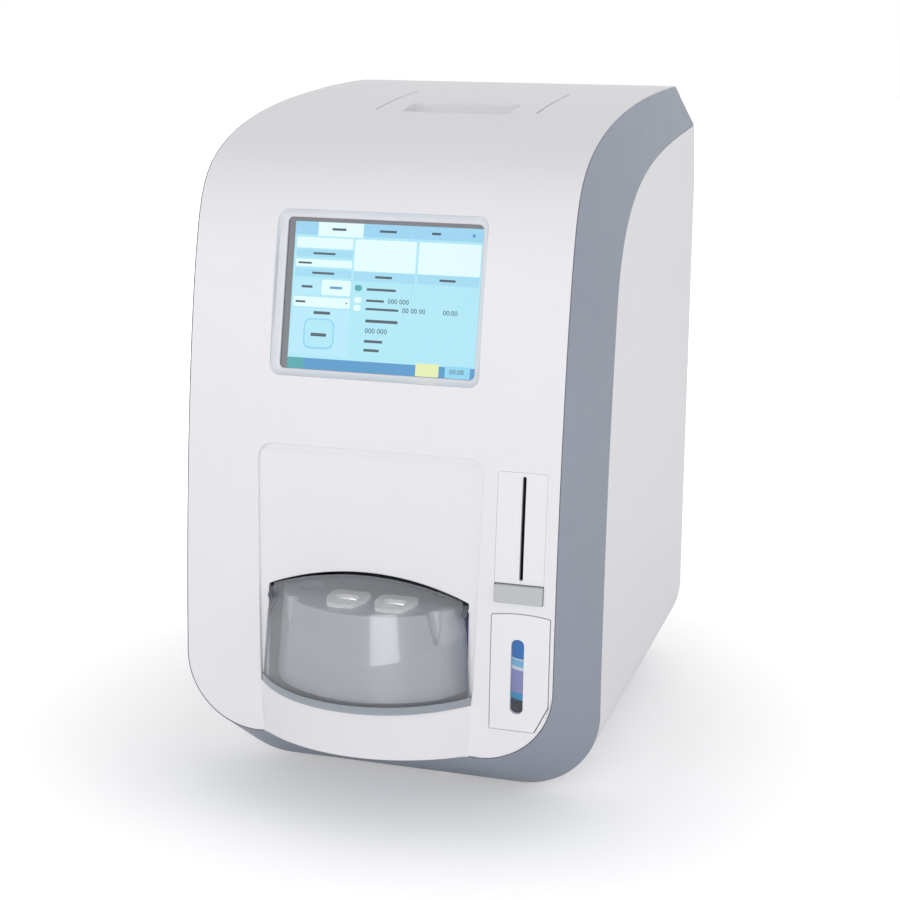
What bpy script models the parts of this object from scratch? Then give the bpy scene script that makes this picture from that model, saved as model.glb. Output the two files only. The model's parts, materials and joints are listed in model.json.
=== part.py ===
"""Bench-top coagulation analyzer: housing, display, carousel, printer, reagent bay and inner works.

Metres, +Z up. The origin lies on the bench under the middle of the body, the front looks along -Y.
"""
import math

import bmesh
import bpy
from mathutils import Matrix, Vector

for thing in list(bpy.data.objects):
    bpy.data.objects.remove(thing, do_unlink=True)

# Overall sizes
BODY_WIDTH = 0.252
BODY_DEPTH = 0.372
BODY_HEIGHT = 0.418
FOOT_HEIGHT = 0.005
SEAM = 0.0003
OVERRUN = 0.02
WELD = 0.00001
HALF_WIDTH = BODY_WIDTH / 2
HALF_DEPTH = BODY_DEPTH / 2

# Front cover, band and panels
BAND_REACH = 0.0127
COVER_WALL = 0.003
BAND_WALL = 0.0025
PANEL_WALL = 0.0025
COVER_LOW = 0.0505
COVER_CORNER = 0.045
PANEL_CORNER = 0.050
BAND_HALF = HALF_WIDTH - BAND_REACH
COVER_HALF = BAND_HALF - SEAM
CORNER_STEPS = 8
PROFILE_STEPS = 9
DENSE_STEPS = 48
COVER_PROFILE_SHARES = (
    (0.9167, 0.9931), (-0.4274, 1.0000), (-0.5511, 0.9213), (-0.6070, 0.8694),
    (-0.6909, 0.7921), (-0.8118, 0.4761), (-0.8301, 0.1172),
)
BAND_PROFILE_SHARES = (
    (0.9548, 0.9299), (0.1613, 0.9151), (-0.2667, 0.9057), (-0.3333, 0.7211),
    (-0.4242, 0.4691), (-0.4220, 0.3978), (-0.4430, 0.2031),
)
REAR_BEND_SHARE = 0.8370

# Display
SCREEN_WIDTH = 0.118
SCREEN_HEIGHT = 0.0877
SCREEN_CENTRE = 0.3128
BEZEL_SLOPE = 0.004
BEZEL_DEPTH = 0.005
BEZEL_CORNER = 0.003
SHELF = 0.0025
GLASS_WALL = 0.0018
PAD_MARGIN = 0.019
PAD_RIM = 0.0085
PAD_DEPTH = 0.009
MODULE_MARGIN = 0.013
MODULE_RIM = 0.008
MODULE_DEPTH = 0.0117
BRACKET_WALL = 0.002
BRACKET_TAB = 0.004

# Bay, arch and lip
BAY_TOP = 0.226
BAY_HALF = 0.0685
BAY_FOOT_HALF = 0.0655
BAY_DEPTH = 0.0025
BAY_CORNER = 0.008
ARCH_HALF = 0.0618
ARCH_TOP_HALF = 0.0615
ARCH_SPRING = 0.142
ARCH_RISE = 0.0122
LIP_TOP = 0.0825
LIP_HALF = 0.065
LIP_WALL = 0.003
LIP_BULGE = 0.0228
LIP_TOP_BULGE = 0.0297
ARC_STEPS = 16

# Base tray and deck
TRAY_INSET = 0.007
PILLAR_X = 0.060
PILLAR_FRONT = -0.074
PILLAR_REAR = 0.100
PILLAR_RADIUS = 0.005
DECK_LOW = 0.058
DECK_WALL = 0.002

# Printer behind its door, and the release bar under the door
PRINTER_LEFT = 0.077
PRINTER_RIGHT = 0.106
PRINTER_LOW = 0.157
PRINTER_HIGH = 0.221
PRINTER_CORNER = 0.0005
DOOR_WALL = 0.0025
BAR_LOW = 0.146
BAR_PROUD = 0.0025
BAR_DEPTH = 0.008
SLOT_X = 0.0925
SLOT_WIDTH = 0.0022
SLOT_MARGIN = 0.0022
TUB_WALL = 0.0018
TUB_REAR = -0.092
ROLL_X = 0.0915
ROLL_Y = -0.110
ROLL_RADIUS = 0.0135
ROLL_WIDTH = 0.058
SPINDLE_RADIUS = 0.006
PLATEN_RADIUS = 0.0042
PLATEN_Y = -0.131
HEAD_HEIGHT = 0.046
HEAD_DEPTH = 0.008

# Reagent door, its window and the bottle behind
REAGENT_LEFT = 0.0757
REAGENT_RIGHT = 0.1106
REAGENT_LOW = 0.070
REAGENT_HIGH = 0.140
REAGENT_RISE = 0.0015
REAGENT_CUT_WIDTH = 0.008
REAGENT_CUT_HEIGHT = 0.016
WINDOW_X = 0.0918
WINDOW_WIDTH = 0.0075
WINDOW_LOW = 0.0805
WINDOW_HIGH = 0.1248
PANE_INSET = 0.0005
PANE_WALL = 0.0015
BOTTLE_X = 0.091
BOTTLE_Y = -0.120
BOTTLE_RADIUS = 0.012
BOTTLE_HEIGHT = 0.0735
BOTTLE_SHOULDER = 0.0595
BOTTLE_NECK = 0.007
BOTTLE_SLOPE = 0.005
CAP_RADIUS = 0.009
CAP_HEIGHT = 0.0105
CAP_WALL = 0.0015
HOLDER_WALL = 0.001
HOLDER_FLOOR = 0.002
HOLDER_HEIGHT = 0.020

# Clear cover over the carousel
CLEAR_WALL = 0.0018
CLEAR_FLANGE = 0.0047
CLEAR_STEP = 0.001
CREASE_HALF = 0.0615
CREASE_MIDDLE = 0.111
CREASE_END = 0.125
BROW_HALF = 0.0545
BROW_Z = 0.1415
BROW_SETBACK = 0.006
RIM_HALF = 0.058
RIM_RISE = 0.010
RIM_Z = 0.143
HINGE_Z = 0.1375
HINGE_RADIUS = 0.0008
LUG_RADIUS = 0.003
LUG_WALL = 0.0026
LUG_INSET = 0.0006
LUG_REACH = 0.003
CLEAR_STEPS = 16

# Carousel and what turns it
CAROUSEL_Y = -0.1125
DRUM_LOW = 0.086
DRUM_HIGH = 0.1375
DRUM_FOOT_HALF = 0.048
DRUM_FOOT_BULGE = 0.018
DRUM_TOP_HALF = 0.0445
DRUM_TOP_BULGE = 0.016
DRUM_STEPS = 8
NOTCH_LOW = 0.110
NOTCH_RADIUS = 0.006
WELL_LEFT = -0.0112
WELL_RIGHT = 0.0182
WELL_REACH = 0.0415
WELL_RADIUS = 0.0085
WELL_DEPTH = 0.034
STATIONS = 4
SHAFT_RADIUS = 0.006
SHAFT_LOW = 0.0435
SHAFT_SEAT = 0.024
BUSH_WALL = 0.003
BUSH_FLANGE = 0.004
BUSH_DEPTH = 0.003
PULLEY_LOW = 0.044
PULLEY_HEIGHT = 0.008
PULLEY_RADIUS = 0.014
PULLEY_RIM = 0.001
MOTOR_PULLEY_RADIUS = 0.008
BELT_WALL = 0.0014
BELT_MARGIN = 0.0014
MOTOR_X = -0.082
MOTOR_Y = -0.010
MOTOR_SIDE = 0.042
MOTOR_HEIGHT = 0.034
MOTOR_CORNER = 0.004
MOTOR_SHAFT = 0.0025
CARTRIDGE_WIDTH = 0.024
CARTRIDGE_FRONT = -0.165
CARTRIDGE_REAR = -0.139
CARTRIDGE_CORNER = 0.003
COLLAR_WALL = 0.0022
CUP_WALL = 0.001
CUP_MOUTH_WIDTH = 0.0125
CUP_MOUTH_FRONT = -0.1585
CUP_MOUTH_REAR = -0.148
CUP_MOUTH_CORNER = 0.0045
HEATER_RADIUS = 0.055
HEATER_WALL = 0.006
HEATER_BORE = 0.010
HEATER_LEG = 0.004
HEATER_LEG_REACH = 0.040

# Chassis sheet
DECK_HALF = 0.106
DECK_FRONT = -0.138
DECK_FRONT_HALF = 0.088
DECK_SHOULDER = -0.100
DECK_REAR = 0.120
WALL_HALF = 0.100
WALL_HIGH = 0.330

# Measuring head over the rear station
HEAD_HALF = 0.025
HEAD_REAR = -0.008
HEAD_WALL = 0.006
HEAD_FRONT = -0.041
HEAD_SHELF = 0.214
HEAD_SHELF_WALL = 0.004
GUIDE_X = 0.016
GUIDE_Y = -0.028
GUIDE_RADIUS = 0.003
SCREW_RADIUS = 0.004
SCREW_NECK = 0.002
CARRIAGE_LOW = 0.178
CARRIAGE_HEIGHT = 0.018
CARRIAGE_FRONT = -0.039
CARRIAGE_REAR = -0.017
ARM_LEFT = -0.024
ARM_RIGHT = 0.018
ARM_FRONT = -0.080
ARM_LOW = 0.180
ARM_WALL = 0.008
NOZZLE_RADIUS = 0.002
NOZZLE_LOW = 0.163
HEAD_MOTOR_SIDE = 0.028
HEAD_MOTOR_HEIGHT = 0.030

# Vacuum pump, valve block, dispenser
PUMP_LEFT = 0.048
PUMP_LENGTH = 0.045
PUMP_Y = 0.058
PUMP_RADIUS = 0.014
PUMP_BASE = 0.004
PUMP_FOOT = 0.010
VALVE_LEFT = 0.052
VALVE_WIDTH = 0.032
VALVE_FRONT = 0.084
VALVE_DEPTH = 0.020
VALVE_HEIGHT = 0.025
HOSE_RADIUS = 0.002
HOSE_RISE = 0.020
DRIVE_LEFT = 0.076
DRIVE_WIDTH = 0.026
DRIVE_FRONT = -0.012
DRIVE_DEPTH = 0.024
DRIVE_HEIGHT = 0.090
BARREL_RADIUS = 0.006
BARREL_WALL = 0.0015
BARREL_LOW = 0.100
BARREL_LENGTH = 0.050
PLUNGER_LOW = 0.066
PLUNGER_FLANGE = 0.0058
PLUNGER_FLANGE_WALL = 0.003
PLUNGER_ROD = 0.002
PLUNGER_LENGTH = 0.043
PLUNGER_HEAD = 0.005

# Boards, power supply, fan and rear connectors
BOARD_LEFT = -0.092
BOARD_RIGHT = 0.010
BOARD_LOW = 0.150
BOARD_HIGH = 0.290
BOARD_WALL = 0.0016
BOARD_GAP = 0.006
STANDOFF_RADIUS = 0.003
STANDOFF_INSET = 0.006
CHIP_SIDE = 0.022
CHIP_HEIGHT = 0.003
CHIP_PITCH = 0.040
SUPPLY_LEFT = -0.055
SUPPLY_WIDTH = 0.100
SUPPLY_FRONT = 0.126
SUPPLY_DEPTH = 0.050
SUPPLY_HEIGHT = 0.100
FAN_X = 0.055
FAN_Z = 0.230
FAN_SIDE = 0.060
FAN_DEPTH = 0.015
FAN_BORE = 0.028
FAN_CORNER = 0.004
FAN_HUB = 0.011
FAN_STRUT = 0.003
FAN_STRUT_DEPTH = 0.002
BLADES = 7
BLADE_GAP = 0.0012
BLADE_CHORD = 0.009
BLADE_WALL = 0.0012
BLADE_ANGLE = 35
GRILLE_PITCH = 0.006
GRILLE_SLOT = 0.003
GRILLE_EACH_SIDE = 4
LOUVRE_X = -0.055
LOUVRE_LOW = 0.250
LOUVRE_WIDTH = 0.070
LOUVRE_SLOT = 0.003
LOUVRE_PITCH = 0.008
LOUVRES = 8
INLET_X = -0.082
INLET_WIDTH = 0.028
INLET_LOW = 0.022
INLET_HEIGHT = 0.048
INLET_DEPTH = 0.028
SOCKET_WIDTH = 0.022
SOCKET_HEIGHT = 0.015
SOCKET_DEPTH = 0.016
SOCKET_LOW = 0.028
SOCKET_CORNER = 0.003
BLADE_PIN = 0.002
BLADE_PIN_HEIGHT = 0.004
BLADE_PIN_REACH = 0.007
ROCKER_WIDTH = 0.014
ROCKER_HEIGHT = 0.018
ROCKER_Z = 0.0565
ROCKER_DEPTH = 0.012
ROCKER_RISE = 0.0015
ROCKER_GAP = 0.0008
PORT_X = -0.020
PORT_Z = 0.140
PORT_WIDTH = 0.031
PORT_HEIGHT = 0.0125
PORT_DEPTH = 0.012
PORT_FACE_WIDTH = 0.017
PORT_FACE_HEIGHT = 0.0085
PORT_SINK = 0.002
PORT_CORNER = 0.0015
CORNER_FOOT_X = 0.055
CORNER_FOOT_FRONT = -0.048
CORNER_FOOT_REAR = 0.160
CORNER_FOOT_RADIUS = 0.009
MIDDLE_FOOT_X = 0.025
MIDDLE_FOOT_Y = -0.067
MIDDLE_FOOT_RADIUS = 0.006
FOOT_TAPER = 0.001

# Grip plate on the top
GRIP_LEFT = -0.0425
GRIP_RIGHT = 0.0615
GRIP_FRONT = -0.013
GRIP_REAR = 0.085
GRIP_CORNER = 0.010
POCKET_LEFT = -0.025
POCKET_RIGHT = 0.044
POCKET_FRONT = -0.009
POCKET_REAR = 0.027
POCKET_DEPTH = 0.024
POCKET_SLOPE = 0.014
POCKET_WALL = 0.002
POCKET_CORNER = 0.006


# Modelling helpers
def collection(name):
    group = bpy.data.collections.new(name)
    bpy.context.scene.collection.children.link(group)
    return group


PARTS = collection("coagulation_analyzer")
CUTTERS = collection("cutters")


def keep_as_cutter(shape):
    for group in list(shape.users_collection):
        group.objects.unlink(shape)
    CUTTERS.objects.link(shape)
    shape.hide_render = True
    shape.display_type = 'WIRE'
    return shape


def new_shape(name, mesh):
    return keep_as_cutter(bpy.data.objects.new(name, mesh))


def smooth(mesh):
    mesh.shade_smooth()
    mesh.set_sharp_from_angle(angle=math.radians(35))


def solid_from_curve(curve_object):
    bpy.context.view_layer.update()
    graph = bpy.context.evaluated_depsgraph_get()
    mesh = bpy.data.meshes.new_from_object(curve_object.evaluated_get(graph))
    form = bmesh.new()
    form.from_mesh(mesh)
    bmesh.ops.remove_doubles(form, verts=form.verts, dist=WELD)
    bmesh.ops.recalc_face_normals(form, faces=form.faces)
    form.to_mesh(mesh)
    form.free()
    smooth(mesh)
    solid = new_shape(curve_object.name, mesh)
    solid.matrix_world = curve_object.matrix_world
    data = curve_object.data
    bpy.data.objects.remove(curve_object)
    bpy.data.curves.remove(data)
    return solid


PLANES = {
    'XY': Matrix.Identity(4),
    'XZ': Matrix(((1, 0, 0, 0), (0, 0, -1, 0), (0, 1, 0, 0), (0, 0, 0, 1))),
    'YZ': Matrix(((0, 0, 1, 0), (1, 0, 0, 0), (0, 1, 0, 0), (0, 0, 0, 1))),
}
PLANE_SIGN = {'XY': 1, 'XZ': -1, 'YZ': 1}


def plate(name, outline, low, high, plane='XY', holes=()):
    """A flat outline, given in its plane, made solid from low to high along the third axis."""
    data = bpy.data.curves.new(name, 'CURVE')
    data.dimensions = '2D'
    data.fill_mode = 'BOTH'
    data.extrude = abs(high - low) / 2
    for loop in (outline, *holes):
        spline = data.splines.new('POLY')
        spline.points.add(len(loop) - 1)
        for point, (u, v) in zip(spline.points, loop):
            point.co = (u, v, 0, 1)
        spline.use_cyclic_u = True
    shape = bpy.data.objects.new(name, data)
    bpy.context.scene.collection.objects.link(shape)
    middle = (low + high) / 2 * PLANE_SIGN[plane]
    shape.matrix_world = PLANES[plane] @ Matrix.Translation((0, 0, middle))
    return solid_from_curve(shape)


def box(name, low, high):
    """A box between two corners."""
    form = bmesh.new()
    bmesh.ops.create_cube(form, size=1)
    size = [b - a for a, b in zip(low, high)]
    centre = [(a + b) / 2 for a, b in zip(low, high)]
    bmesh.ops.scale(form, vec=size, verts=form.verts)
    bmesh.ops.translate(form, vec=centre, verts=form.verts)
    mesh = bpy.data.meshes.new(name)
    form.to_mesh(mesh)
    form.free()
    return new_shape(name, mesh)


TURNS = {
    'Z': Matrix.Identity(4),
    'Y': Matrix.Rotation(math.radians(-90), 4, 'X'),
    'X': Matrix.Rotation(math.radians(90), 4, 'Y'),
}


def rod(name, centre, radius, start, end, axis='Z', sides=24, end_radius=None):
    """A cylinder or cone along an axis from start to end, with its centre line through centre."""
    form = bmesh.new()
    last = radius if end_radius is None else end_radius
    bmesh.ops.create_cone(form, cap_ends=True, segments=sides, radius1=radius, radius2=last,
                          depth=end - start)
    bmesh.ops.transform(form, matrix=TURNS[axis], verts=form.verts)
    place = list(centre)
    place.insert('XYZ'.index(axis), (start + end) / 2)
    bmesh.ops.translate(form, vec=place, verts=form.verts)
    mesh = bpy.data.meshes.new(name)
    form.to_mesh(mesh)
    form.free()
    smooth(mesh)
    return new_shape(name, mesh)


def turned(name, profile, place, sides=32, closed=False, axis='Z'):
    """A profile of (radius, height) points, outer side running down, turned round an axis."""
    mesh = bpy.data.meshes.new(name)
    count = len(profile)
    edges = [(i, i + 1) for i in range(count - 1)]
    if closed:
        edges.append((count - 1, 0))
    mesh.from_pydata([(r, 0, z) for r, z in profile], edges, [])
    shape = new_shape(name, mesh)
    shape.matrix_world = Matrix.Translation(place) @ TURNS[axis]
    spin = shape.modifiers.new("Turn", 'SCREW')
    spin.axis = 'Z'
    spin.steps = sides
    spin.render_steps = sides
    spin.use_merge_vertices = True
    spin.merge_threshold = WELD
    spin.use_smooth_shade = True
    return shape


def loft(name, rings, mirror=False):
    """A solid through rings of equal point counts; capped at both ends unless it is mirrored."""
    count = len(rings[0])
    points = [point for ring in rings for point in ring]
    faces = []
    for r in range(len(rings) - 1):
        for i in range(count):
            j = (i + 1) % count
            a, b = r * count, (r + 1) * count
            faces.append((a + i, a + j, b + j, b + i))
    faces.append(tuple(reversed(range(count))))
    if not mirror:
        last = (len(rings) - 1) * count
        faces.append(tuple(range(last, last + count)))
    mesh = bpy.data.meshes.new(name)
    mesh.from_pydata(points, [], faces)
    form = bmesh.new()
    form.from_mesh(mesh)
    if not mirror:
        bmesh.ops.recalc_face_normals(form, faces=form.faces)
    form.to_mesh(mesh)
    form.free()
    smooth(mesh)
    return new_shape(name, mesh)


def tube(name, points, radius, resolution=2):
    """A round tube along a line of points."""
    data = bpy.data.curves.new(name, 'CURVE')
    data.dimensions = '3D'
    data.bevel_depth = radius
    data.bevel_resolution = resolution
    data.use_fill_caps = True
    spline = data.splines.new('POLY')
    spline.points.add(len(points) - 1)
    for point, co in zip(spline.points, points):
        point.co = (*co, 1)
    shape = bpy.data.objects.new(name, data)
    bpy.context.scene.collection.objects.link(shape)
    return solid_from_curve(shape)


def combine(shape, tools, operation):
    for tool in tools:
        change = shape.modifiers.new(operation.title(), 'BOOLEAN')
        change.operation = operation
        change.solver = 'EXACT'
        change.object = keep_as_cutter(tool)
    return shape


def cut(shape, *tools):
    return combine(shape, tools, 'DIFFERENCE')


def join(shape, *tools):
    return combine(shape, tools, 'UNION')


def meet(shape, *tools):
    return combine(shape, tools, 'INTERSECT')


MATERIALS = {}


def material(name, colour, roughness, metallic=0.0, alpha=1.0):
    surface = bpy.data.materials.new(name)
    surface.use_nodes = True
    shader = surface.node_tree.nodes["Principled BSDF"]
    shader.inputs["Base Color"].default_value = (*colour, 1)
    shader.inputs["Roughness"].default_value = roughness
    shader.inputs["Metallic"].default_value = metallic
    shader.inputs["Alpha"].default_value = alpha
    MATERIALS[name] = surface


def pivot(name, place):
    """An empty on a joint's axis, which carries the moving pieces."""
    holder = bpy.data.objects.new(name, None)
    holder.location = place
    PARTS.objects.link(holder)
    bpy.context.view_layer.update()
    return holder


def node(shape, name, surface, holder=None):
    """Names a finished piece, gives it its material and puts it among the parts."""
    shape.name = name
    shape.data.name = name
    for group in list(shape.users_collection):
        group.objects.unlink(shape)
    PARTS.objects.link(shape)
    shape.hide_render = False
    shape.display_type = 'TEXTURED'
    own = MATERIALS[surface].copy()
    own.name = name + "_" + surface
    shape.data.materials.clear()
    shape.data.materials.append(own)
    if holder is not None:
        place = shape.matrix_world.copy()
        shape.parent = holder
        shape.matrix_parent_inverse = holder.matrix_world.inverted()
        shape.matrix_world = place
    return shape


def bezier(points, steps):
    line = []
    for i in range(steps + 1):
        t = i / steps
        s = 1 - t
        weights = (s ** 3, 3 * s * s * t, 3 * s * t * t, t ** 3)
        line.append(tuple(sum(w * p[k] for w, p in zip(weights, points)) for k in range(2)))
    return line


def profile_curves(shares):
    points = [(y * HALF_DEPTH, z * BODY_HEIGHT) for y, z in shares]
    return bezier(points[:4], DENSE_STEPS), bezier(points[3:], DENSE_STEPS)


def offset_line(points, distance):
    """A line moved by a distance to its left, which is the inner side of the body's profile."""
    moved = []
    for i, point in enumerate(points):
        before = points[max(i - 1, 0)]
        after = points[min(i + 1, len(points) - 1)]
        normals = []
        for a, b in ((before, point), (point, after)):
            step = Vector((b[0] - a[0], b[1] - a[1]))
            if step.length > 0:
                step.normalize()
                normals.append(Vector((-step.y, step.x)))
        lean = sum(normals, Vector((0, 0))).normalized()
        reach = distance / lean.dot(normals[0])
        moved.append((point[0] + lean.x * reach, point[1] + lean.y * reach))
    return moved


def between(points, low, high, axis=1):
    """The stretch of a line whose coordinate on one axis lies between low and high."""
    stretch = []
    for a, b in zip(points, points[1:]):
        for level in sorted((low, high), reverse=a[axis] > b[axis]):
            if (a[axis] - level) * (b[axis] - level) < 0:
                t = (level - a[axis]) / (b[axis] - a[axis])
                stretch.append(tuple(a[k] + (b[k] - a[k]) * t for k in range(2)))
        if low <= b[axis] <= high:
            stretch.append(b)
    if low <= points[0][axis] <= high:
        stretch.insert(0, points[0])
    return stretch


def resample(line, steps):
    """Points at even distances along a line."""
    lengths = [0]
    for a, b in zip(line, line[1:]):
        lengths.append(lengths[-1] + math.dist(a, b))
    result = [line[0]]
    k = 0
    for i in range(1, steps):
        goal = lengths[-1] * i / steps
        while lengths[k + 1] < goal:
            k += 1
        t = (goal - lengths[k]) / (lengths[k + 1] - lengths[k])
        result.append(tuple(line[k][n] + (line[k + 1][n] - line[k][n]) * t for n in range(2)))
    result.append(line[-1])
    return result


def skin(line, near, far):
    """The closed outline between two offsets of a line."""
    return offset_line(line, near) + offset_line(line, far)[::-1]


def arc(centre, radius, start, end, steps):
    """Points on a circle from one angle to another, in degrees."""
    points = []
    for i in range(steps + 1):
        a = math.radians(start + (end - start) * i / steps)
        points.append((centre[0] + radius * math.cos(a), centre[1] + radius * math.sin(a)))
    return points


def rounded(left, right, low, high, radius, steps=4):
    """A rectangle with round corners, counter-clockwise from the lower right."""
    outline = []
    corners = ((right - radius, low + radius, -90), (right - radius, high - radius, 0),
               (left + radius, high - radius, 90), (left + radius, low + radius, 180))
    for u, v, angle in corners:
        outline += arc((u, v), radius, angle, angle + 90, steps)
    return outline


def bow(half, bulge, steps):
    """A shallow arc between (-half, 0) and (half, 0) that stands out by bulge along -v."""
    radius = (half * half + bulge * bulge) / (2 * bulge)
    reach = math.asin(half / radius)
    points = []
    for i in range(steps + 1):
        a = -reach + 2 * reach * i / steps
        points.append((radius * math.sin(a), radius - bulge - radius * math.cos(a)))
    return points


material("white_plastic", (0.84, 0.83, 0.86), 0.42)
material("side_plastic", (0.78, 0.78, 0.80), 0.45)
material("band_plastic", (0.28, 0.32, 0.39), 0.45)
material("grey_plastic", (0.40, 0.43, 0.48), 0.40)
material("light_plastic", (0.60, 0.62, 0.62), 0.42)
material("screen_glass", (0.25, 0.62, 0.68), 0.10)
material("clear_plastic", (0.55, 0.58, 0.62), 0.08, alpha=0.35)
material("black_plastic", (0.03, 0.03, 0.035), 0.50)
material("steel", (0.62, 0.63, 0.65), 0.30, metallic=1.0)
material("aluminium", (0.75, 0.76, 0.78), 0.35, metallic=1.0)
material("zinc_sheet", (0.55, 0.57, 0.60), 0.45, metallic=1.0)
material("brass", (0.65, 0.48, 0.20), 0.35, metallic=1.0)
material("board_green", (0.04, 0.22, 0.10), 0.45)
material("rubber", (0.05, 0.05, 0.05), 0.80)
material("paper", (0.86, 0.86, 0.84), 0.85)
material("bottle_plastic", (0.55, 0.62, 0.78), 0.30)
material("cap_plastic", (0.15, 0.30, 0.62), 0.35)

REAR_Y = HALF_DEPTH
FLOOR = FOOT_HEIGHT
cover_upper, cover_lower = profile_curves(COVER_PROFILE_SHARES)
band_upper, band_lower = profile_curves(BAND_PROFILE_SHARES)
cover_side = between(cover_lower, COVER_LOW + COVER_CORNER, BODY_HEIGHT)
band_side = band_lower + [(band_lower[-1][0], FLOOR + PANEL_CORNER)]
COVER_LINE = (resample(cover_upper, PROFILE_STEPS) + resample(cover_side, PROFILE_STEPS)[1:]
              + [cover_lower[-1]])
BAND_LINE = resample(band_upper, PROFILE_STEPS) + resample(band_side, PROFILE_STEPS)[1:]


def front_y(z):
    """The front surface's place at a height."""
    for a, b in zip(COVER_LINE[PROFILE_STEPS // 2:], COVER_LINE[PROFILE_STEPS // 2 + 1:]):
        if b[1] <= z <= a[1]:
            return a[0] + (b[0] - a[0]) * (z - a[1]) / (b[1] - a[1])
    return COVER_LINE[-1][0]


TOP_REAR = COVER_LINE[0]

# Front cover: one curved moulding from the rear of the top down to the bottom of the front
COVER_FOOT = COVER_LOW + SEAM
COVER_ROUND = COVER_CORNER - SEAM
cover_silhouette = (
    [(COVER_HALF, BODY_HEIGHT + OVERRUN), (-COVER_HALF, BODY_HEIGHT + OVERRUN)]
    + arc((-COVER_HALF + COVER_ROUND, COVER_FOOT + COVER_ROUND), COVER_ROUND, 180, 270, CORNER_STEPS)
    + arc((COVER_HALF - COVER_ROUND, COVER_FOOT + COVER_ROUND), COVER_ROUND, 270, 360, CORNER_STEPS))
front_cover = plate("cover_skin", skin(COVER_LINE, 0, COVER_WALL), -HALF_WIDTH, HALF_WIDTH, 'YZ')
meet(front_cover, plate("cover_silhouette", cover_silhouette, -HALF_DEPTH - OVERRUN,
                        HALF_DEPTH + OVERRUN, 'XZ'))

# Display: the frame that leans with the front, seen from outside as (u, v) with w pointing out
screen_low = SCREEN_CENTRE - SCREEN_HEIGHT / 2 - BEZEL_SLOPE
screen_high = SCREEN_CENTRE + SCREEN_HEIGHT / 2 + BEZEL_SLOPE
screen_up = Vector((0, front_y(screen_high) - front_y(screen_low), screen_high - screen_low)).normalized()
screen_out = Vector((1, 0, 0)).cross(screen_up)
screen_centre = Vector((0, (front_y(screen_high) + front_y(screen_low)) / 2, SCREEN_CENTRE))


def screen_ring(half_u, half_v, corner, depth):
    ring = []
    for u, v in rounded(-half_u, half_u, -half_v, half_v, corner, 3):
        ring.append(tuple(Vector((u, 0, 0)) + screen_centre + screen_up * v - screen_out * depth))
    return ring


def screen_block(name, half_u, half_v, corner, front, back):
    return loft(name, [screen_ring(half_u, half_v, corner, depth) for depth in (front, back)])


half_u = SCREEN_WIDTH / 2
half_v = SCREEN_HEIGHT / 2
shelf_depth = BEZEL_DEPTH + SEAM
glass_back = shelf_depth + SEAM + GLASS_WALL
module_half_u = half_u + MODULE_MARGIN
module_half_v = half_v + MODULE_RIM
module_front = PAD_DEPTH + SEAM
module_back = module_front + MODULE_DEPTH
pad_half_u = half_u + PAD_MARGIN
pad_half_v = half_v + PAD_RIM
join(front_cover, screen_block("screen_pad", pad_half_u, pad_half_v, BEZEL_CORNER, COVER_WALL / 2,
                               PAD_DEPTH))
cut(front_cover,
    loft("screen_opening", [
        screen_ring(half_u + BEZEL_SLOPE, half_v + BEZEL_SLOPE, BEZEL_CORNER * 2, -BEZEL_DEPTH),
        screen_ring(half_u + BEZEL_SLOPE, half_v + BEZEL_SLOPE, BEZEL_CORNER * 2, 0),
        screen_ring(half_u, half_v, BEZEL_CORNER, BEZEL_DEPTH),
        screen_ring(half_u, half_v, BEZEL_CORNER, PAD_DEPTH + BEZEL_DEPTH)]),
    screen_block("glass_seat", half_u + SHELF, half_v + SHELF, BEZEL_CORNER, shelf_depth,
                 PAD_DEPTH + BEZEL_DEPTH))
touch_glass = screen_block("touch_glass", half_u + SHELF - SEAM, half_v + SHELF - SEAM, BEZEL_CORNER,
                           shelf_depth + SEAM, glass_back)
node(touch_glass, "touch_glass", "screen_glass")
lcd_module = screen_block("lcd_module", module_half_u, module_half_v, BEZEL_CORNER, module_front,
                          module_back)
node(lcd_module, "lcd_module", "aluminium")

# Bracket behind the display, with four legs to the pad
bracket_front = module_back + SEAM
bracket_back = bracket_front + BRACKET_WALL
bracket_half_u = module_half_u + SEAM + BRACKET_TAB
lcd_bracket = screen_block("bracket_sheet", bracket_half_u, module_half_v, BRACKET_WALL, bracket_front,
                           bracket_back)
for side in (-1, 1):
    for level in (-1, 1):
        leg = []
        for depth in (module_front, bracket_front + BRACKET_WALL / 2):
            ring = []
            for u, v in rounded(-BRACKET_TAB / 2, BRACKET_TAB / 2, -BRACKET_TAB, BRACKET_TAB,
                                BRACKET_WALL / 2, 1):
                across = side * (bracket_half_u - BRACKET_TAB / 2) + u
                along = level * (module_half_v - BRACKET_TAB * 2) + v
                ring.append(tuple(Vector((across, 0, 0)) + screen_centre + screen_up * along
                                  - screen_out * depth))
            leg.append(ring)
        join(lcd_bracket, loft("bracket_leg", leg))
cut(lcd_bracket, screen_block("bracket_window", module_half_u - PAD_MARGIN, module_half_v - PAD_MARGIN,
                              BEZEL_CORNER, bracket_front - BRACKET_WALL, bracket_back + BRACKET_WALL))
node(lcd_bracket, "lcd_bracket", "zinc_sheet")

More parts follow.
